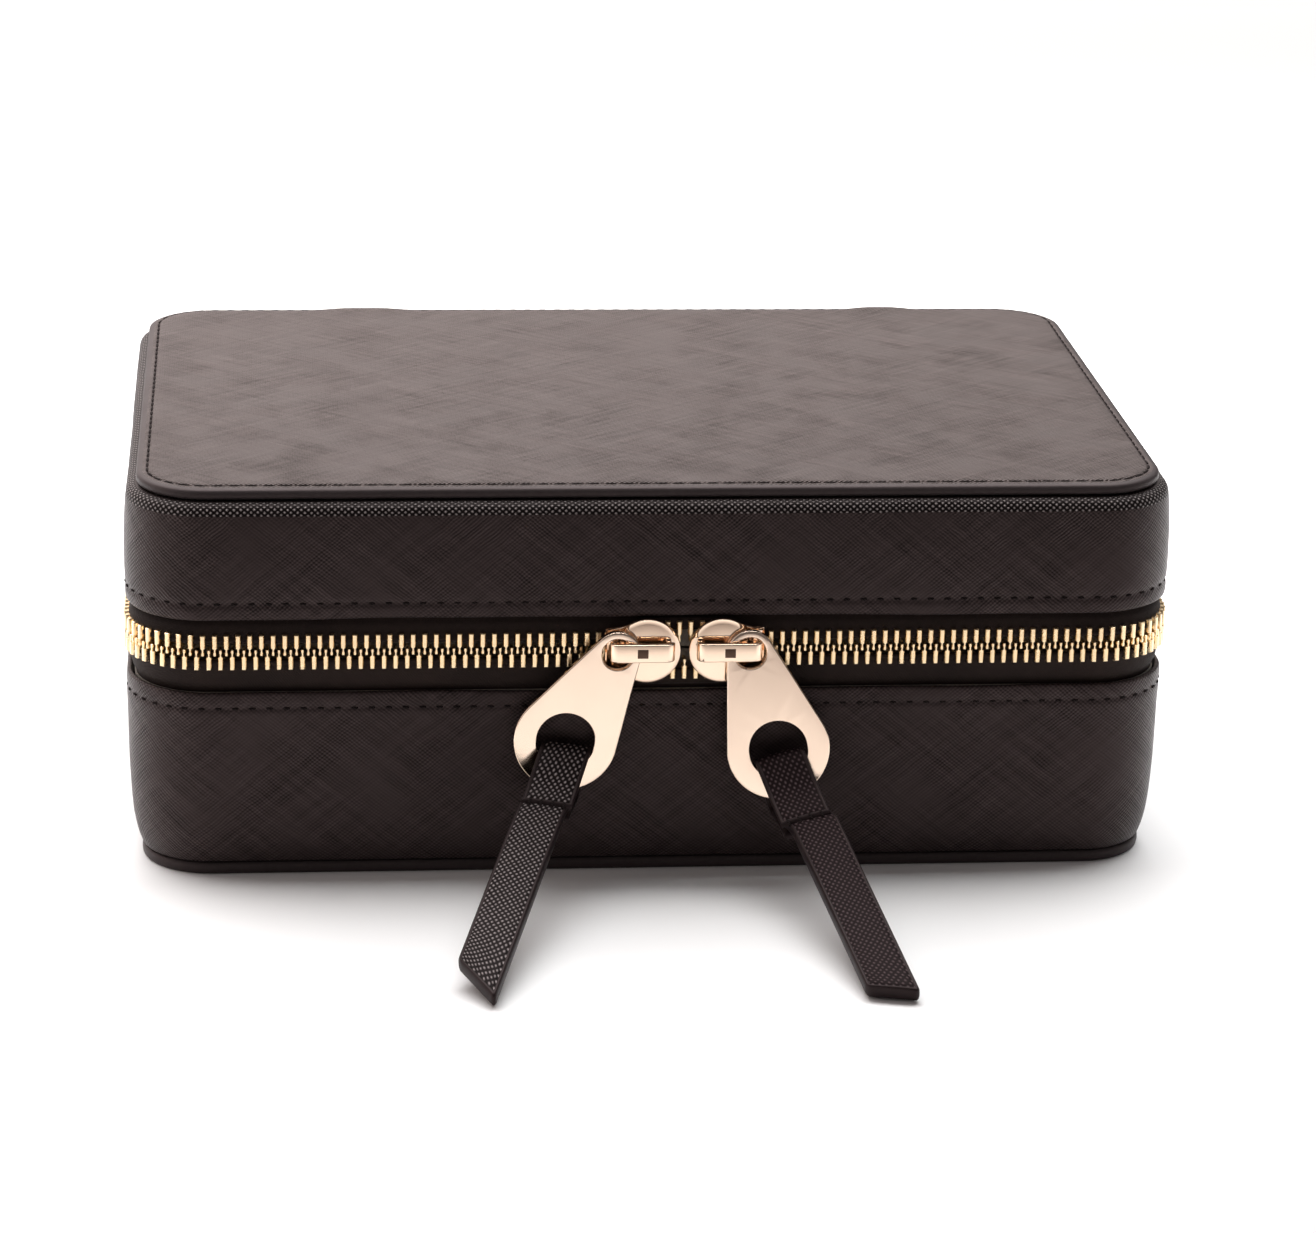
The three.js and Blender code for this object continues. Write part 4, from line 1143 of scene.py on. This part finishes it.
def spine():
    low, high = spine_low, spine_high
    stations = finer_ends(low[2], high[2], SOFT_STEPS, np.arange(low[2] + 4.4, high[2] - 4.3, 0.9))
    outer = sheet_block("spine", low, high, stations, 0.6, [WALL_LEATHER], puff=0.25)
    bend_at_hinge(outer, high[1], 6)
    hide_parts("spine_leather")
    inner_low, inner_high = box_mm("spine_lining")
    z0, z1 = inner_low[2], inner_high[2]
    stations = finer_ends(z0, z1, SOFT_STEPS[:5], np.linspace(z0 + 1.4, z1 - 1.4, 26))
    inner = sheet_block("spine_inside", inner_low, inner_high, stations, 0.4, [SUEDE])
    bend_at_hinge(inner, inner_low[1], 5)
    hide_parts("spine_lining")
    unit = stitch_shape(STITCH_PITCH * 0.74, 0.27)
    x_way, y_way, z_way = np.eye(3)
    y = high[1] + 0.06
    for word, body, z_from, z_to, row_z in (
        ("low", "base", low[2] + 4, HINGE_Z - 7, low[2] + SPINE_STITCH),
        ("high", "lid", HINGE_Z + 7, high[2] - 4, high[2] - SPINE_STITCH),
    ):
        frames = []
        count = int((z_to - z_from) / STITCH_PITCH)
        for x in (low[0] + SPINE_STITCH, high[0] - SPINE_STITCH):
            frames += [((x, y, z), z_way, -x_way, y_way) for z in np.linspace(z_from, z_to, count + 1)]
        count = int((high[0] - low[0] - 9) / STITCH_PITCH)
        row = np.linspace(low[0] + 4.5, high[0] - 4.5, count + 1)
        frames += [((x, y, row_z), x_way, z_way, y_way) for x in row]
        fit(place_copies(f"spine_stitches_{word}", *unit, frames, [THREAD]), body)


def zip_ends():
    """A metal stop on each row where each end of the zip goes under the spine."""
    for word, sign in (("left", -1), ("right", 1)):
        x = sign * (ZIP_END + 6.6)
        for row, body, z0, z1 in (("lower", "base", -4.0, -0.35), ("upper", "lid", 2.55, 4.0)):
            stop = rounded_box(
                f"zip_end_{word}_{row}", (x - 1.1, HALF_Y - 0.1, ZIP_Z + z0),
                (x + 1.1, HALF_Y + 1.0, ZIP_Z + z1), 0.35, [TEETH_METAL],
            )
            fit(stop, body)


# ---- inside


def inside_ring(name, section, half, corner, materials):
    """A closed (inset, height) section carried round a rounded rectangle."""
    at, out = rounded_outline(half[0], half[1], corner)
    section = np.asarray(section, float)
    points = carried(at, out, section)
    return grid(name, points, materials, u=run_lengths(at, True), v=run_lengths(section, True))


def linings():
    """Suede round both walls, rolled over at the lips, over a floor and a lid pad."""
    for name, node, body, up in (
        ("base_lining", "base_wall_lining", "base", 1), ("lid_lining", "lid_wall_lining", "lid", -1),
    ):
        low, high = box_mm(node)
        lip, far = (high[2], low[2]) if up > 0 else (low[2], high[2])
        section = [
            (0.0, far), (0.0, lip - up * 0.5), (0.1, lip - up * 0.15), (0.35, lip), (0.6, lip - up * 0.08),
            (0.78, lip - up * 0.35), (0.8, lip - up * 1.0), (0.8, (lip + far) / 2), (0.8, far),
        ]
        obj = inside_ring(name, section, high, CORNER - (HALF_X - high[0]), [SUEDE])
        fit(obj, body, node)
    low, high = box_mm("base_floor_lining")
    corner = CORNER - (HALF_X - high[0])
    profile = [
        (4, low[2]), (0.4, low[2]), (0, low[2] + 0.3), (0, high[2] - 0.4), (0.15, high[2] - 0.1),
        (0.5, high[2]), (4, high[2]), (9, high[2]),
    ]
    floor = panel("inside_floor", high, corner, profile, [SUEDE], lambda j: 0, 5)
    fit(floor, "base", "base_floor_lining")
    low, high = box_mm("lid_pad")
    profile = [
        (6, high[2]), (0.6, high[2]), (0, high[2] - 0.6), (0, low[2] + 2.4), (0.35, low[2] + 1.5),
        (1.2, low[2] + 0.85), (2.6, low[2] + 0.45), (5, low[2] + 0.2), (9, low[2] + 0.05), (11, low[2]),
    ]
    pad = panel("lid_cushion", high, corner, profile, [SUEDE], lambda j: 0, 8)
    fit(pad, "lid", "lid_pad")


def dividers():
    for node in ("divider_long", "divider_middle", "divider_front", "divider_rear"):
        obj = rounded_box(f"{node}_covered", *box_mm(node), 1.1, [SUEDE], segments=4)
        fit(obj, "base", node)


def ring_rolls():
    """Foam rolls in suede: a half-round top and soft, drawn-in ends."""
    for number in range(1, 7):
        low, high = box_mm(f"ring_roll_{number}")
        radius = (high[1] - low[1]) / 2
        middle_y = (low[1] + high[1]) / 2
        centre_z = (low[2] + high[2]) / 2
        crown = high[2] - radius
        outline = [
            (0.9 - radius, low[2]), (0.2 - radius, low[2] + 0.5), (-radius, low[2] + 2.2),
            (-radius, (low[2] + crown) / 2),
        ]
        turn = np.linspace(0, math.pi, 19)
        outline += [(-radius * math.cos(a), crown + radius * math.sin(a)) for a in turn]
        outline += [(-x, z) for x, z in outline[3::-1]]
        end = ((0.0, 2.6), (0.12, 1.7), (0.45, 0.9), (1.0, 0.35), (1.8, 0.08), (3.0, 0.0))
        stations = [(low[0] + d, shrink) for d, shrink in end]
        stations += [(x, 0.0) for x in np.linspace(low[0] + 6, high[0] - 6, 15)]
        stations += [(high[0] - d, shrink) for d, shrink in end[::-1]]
        points = []
        for x, shrink in stations:
            ring = []
            for k, (y, z) in enumerate(outline):
                sag = 0.14 * math.sin(x * 0.35 + 1.7 * number) * math.sin(math.pi * k / (len(outline) - 1))
                pull = shrink + max(0.0, sag)
                height = centre_z + (z - centre_z) * (1 - pull / 13)
                ring.append((x, middle_y + y * (1 - pull / radius), max(low[2], height)))
            points.append(ring)
        obj = layered(f"ring_cushion_{number}", points, [SUEDE], smooth=60)
        fit(obj, "base", f"ring_roll_{number}")


def mirror_and_frame():
    low, glass_high = box_mm("mirror")
    back, face = glass_high[2], low[2]
    edge = [(6, back), (0.5, back), (0, back - 0.3), (0, face + 0.35), (2.5, face), (6, face)]
    glass = panel("mirror_glass", glass_high, 6.5, edge, [MIRROR], lambda j: 0, 5)
    fit(glass, "lid", "mirror")
    low, high = box_mm("mirror_frame")
    z = low[2]
    width = high[0] - glass_high[0] - 0.3
    section = [
        (0.0, high[2]), (0.0, z + 1.3), (0.3, z + 0.5), (1.0, z + 0.08), (1.9, z + 0.12), (2.2, z + 0.26),
        (2.5, z + 0.12), (width / 2 + 0.6, z), (width - 0.9, z + 0.25), (width - 0.2, z + 0.8),
        (width, z + 1.6), (width, high[2]),
    ]
    border = inside_ring("mirror_border", section, high, 11, [WALL_LEATHER])
    fit(border, "lid", "mirror_frame")

    def on_border(place, outward):
        return np.array([*place, z + 0.16]), np.array([0, 0, -1.0])

    line = rounded_outline(high[0] - 2.2, high[1] - 2.2, 8.8)
    unit = stitch_shape(STITCH_PITCH * 0.74, 0.26)
    fit(place_copies("mirror_border_stitches", *unit, stitch_frames(*line, on_border), [THREAD]), "lid")


# ---- floor, light and camera

CAMERA_AT = (-82.45, -918.35, 345.31)
CAMERA_YAW = 5.609
CAMERA_PITCH = 18.734
CAMERA_ROLL = 1.31
CAMERA_LENS = 114.9
WORLD_BRIGHT_WAY = (-1.3, 1.0, 0.1)
WORLD_FRONT = (0.14, 0.13, 0.13)
WORLD_RIGHT = (0.32, 0.285, 0.27)
WORLD_BACK = (1.4, 1.22, 1.17)
KEY_POWER = 6.9
KEY_SPREAD = 87
BACK_POWER = 44.0


def camera():
    data = bpy.data.cameras.new("camera")
    data.lens = CAMERA_LENS
    data.sensor_width = 36
    data.clip_start = 0.01
    data.clip_end = 50
    obj = link_object("camera", data)
    yaw, pitch, roll = (math.radians(a) for a in (CAMERA_YAW, CAMERA_PITCH, CAMERA_ROLL))
    forward = Vector((math.sin(yaw) * math.cos(pitch), math.cos(yaw) * math.cos(pitch), -math.sin(pitch)))
    right = Vector((math.cos(yaw), -math.sin(yaw), 0))
    up = right.cross(forward)
    tilted_right = math.cos(roll) * right + math.sin(roll) * up
    tilted_up = -math.sin(roll) * right + math.cos(roll) * up
    turn = Matrix((tilted_right, tilted_up, -forward)).transposed()
    obj.matrix_world = Matrix.Translation(Vector(CAMERA_AT) * MM) @ turn.to_4x4()
    bpy.context.scene.camera = obj


def area_light(name, at, size, power, spread=180):
    """A flat rectangular light that shines straight down."""
    data = bpy.data.lights.new(name, "AREA")
    data.shape = "RECTANGLE"
    data.size, data.size_y = size
    data.energy = power
    data.spread = math.radians(spread)
    down = Vector((0, 0, -1)).to_track_quat("-Z", "Y").to_matrix().to_4x4()
    link_object(name, data).matrix_world = Matrix.Translation(at) @ down


def studio():
    mesh = bpy.data.meshes.new("floor")
    size = 12.0
    corners = [(-size, -size, 0), (size, -size, 0), (size, size, 0), (-size, size, 0)]
    mesh.from_pydata(corners, [], [range(4)])
    paint = Nodes("pale_floor").set(Base_Color=(0.9, 0.9, 0.9, 1), Roughness=0.7, Specular_IOR_Level=0.1)
    mesh.materials.append(paint)
    link_object("floor", mesh)
    world = Nodes("studio", "worlds", "Background")
    way = {0: world.add("TexCoord").outputs["Generated"], 1: WORLD_BRIGHT_WAY}
    lean = world.add("VectorMath", way, operation="DOT_PRODUCT").outputs["Value"]
    colour = world.ramp(lean, [(0.0, WORLD_FRONT), (0.65, WORLD_RIGHT), (1.0, WORLD_BACK)])
    bpy.context.scene.world = world.set(Color=colour, Strength=1.0)
    area_light("key_softbox", (-0.08, 0.165, 0.62), (1.8, 0.46), KEY_POWER, KEY_SPREAD)
    area_light("back_softbox", (-0.1, 1.7, 1.6), (3.2, 2.0), BACK_POWER)
    bpy.context.scene.view_settings.view_transform = "Standard"


# ---- build

camera()
studio()
lid_wall()
base_wall()
top_panel()
bottom_panel()
stitches()
zip_teeth()
zip_tape()
for word, direction in (("left", -1), ("right", 1)):
    slider(word, direction)
    bridge(word)
    pull_plate(word, direction)
    strap(word, direction)
spine()
zip_ends()
linings()
dividers()
ring_rolls()
mirror_and_frame()

finishes = {"greyboard": BOARD, "suede": SUEDE, "mirror": MIRROR, "saffiano_leather": WALL_LEATHER,
            "smooth_leather": EDGE_LEATHER, "zip_tape": TAPE, "zip_metal": TEETH_METAL, "rose_gold": GOLD}
slot_of = {part["node"]: part["material_slot"] for part in frame["record"]["subparts"]}
for node, obj in frame["nodes"].items():
    obj.data.materials.clear()
    obj.data.materials.append(finishes[slot_of[node]])
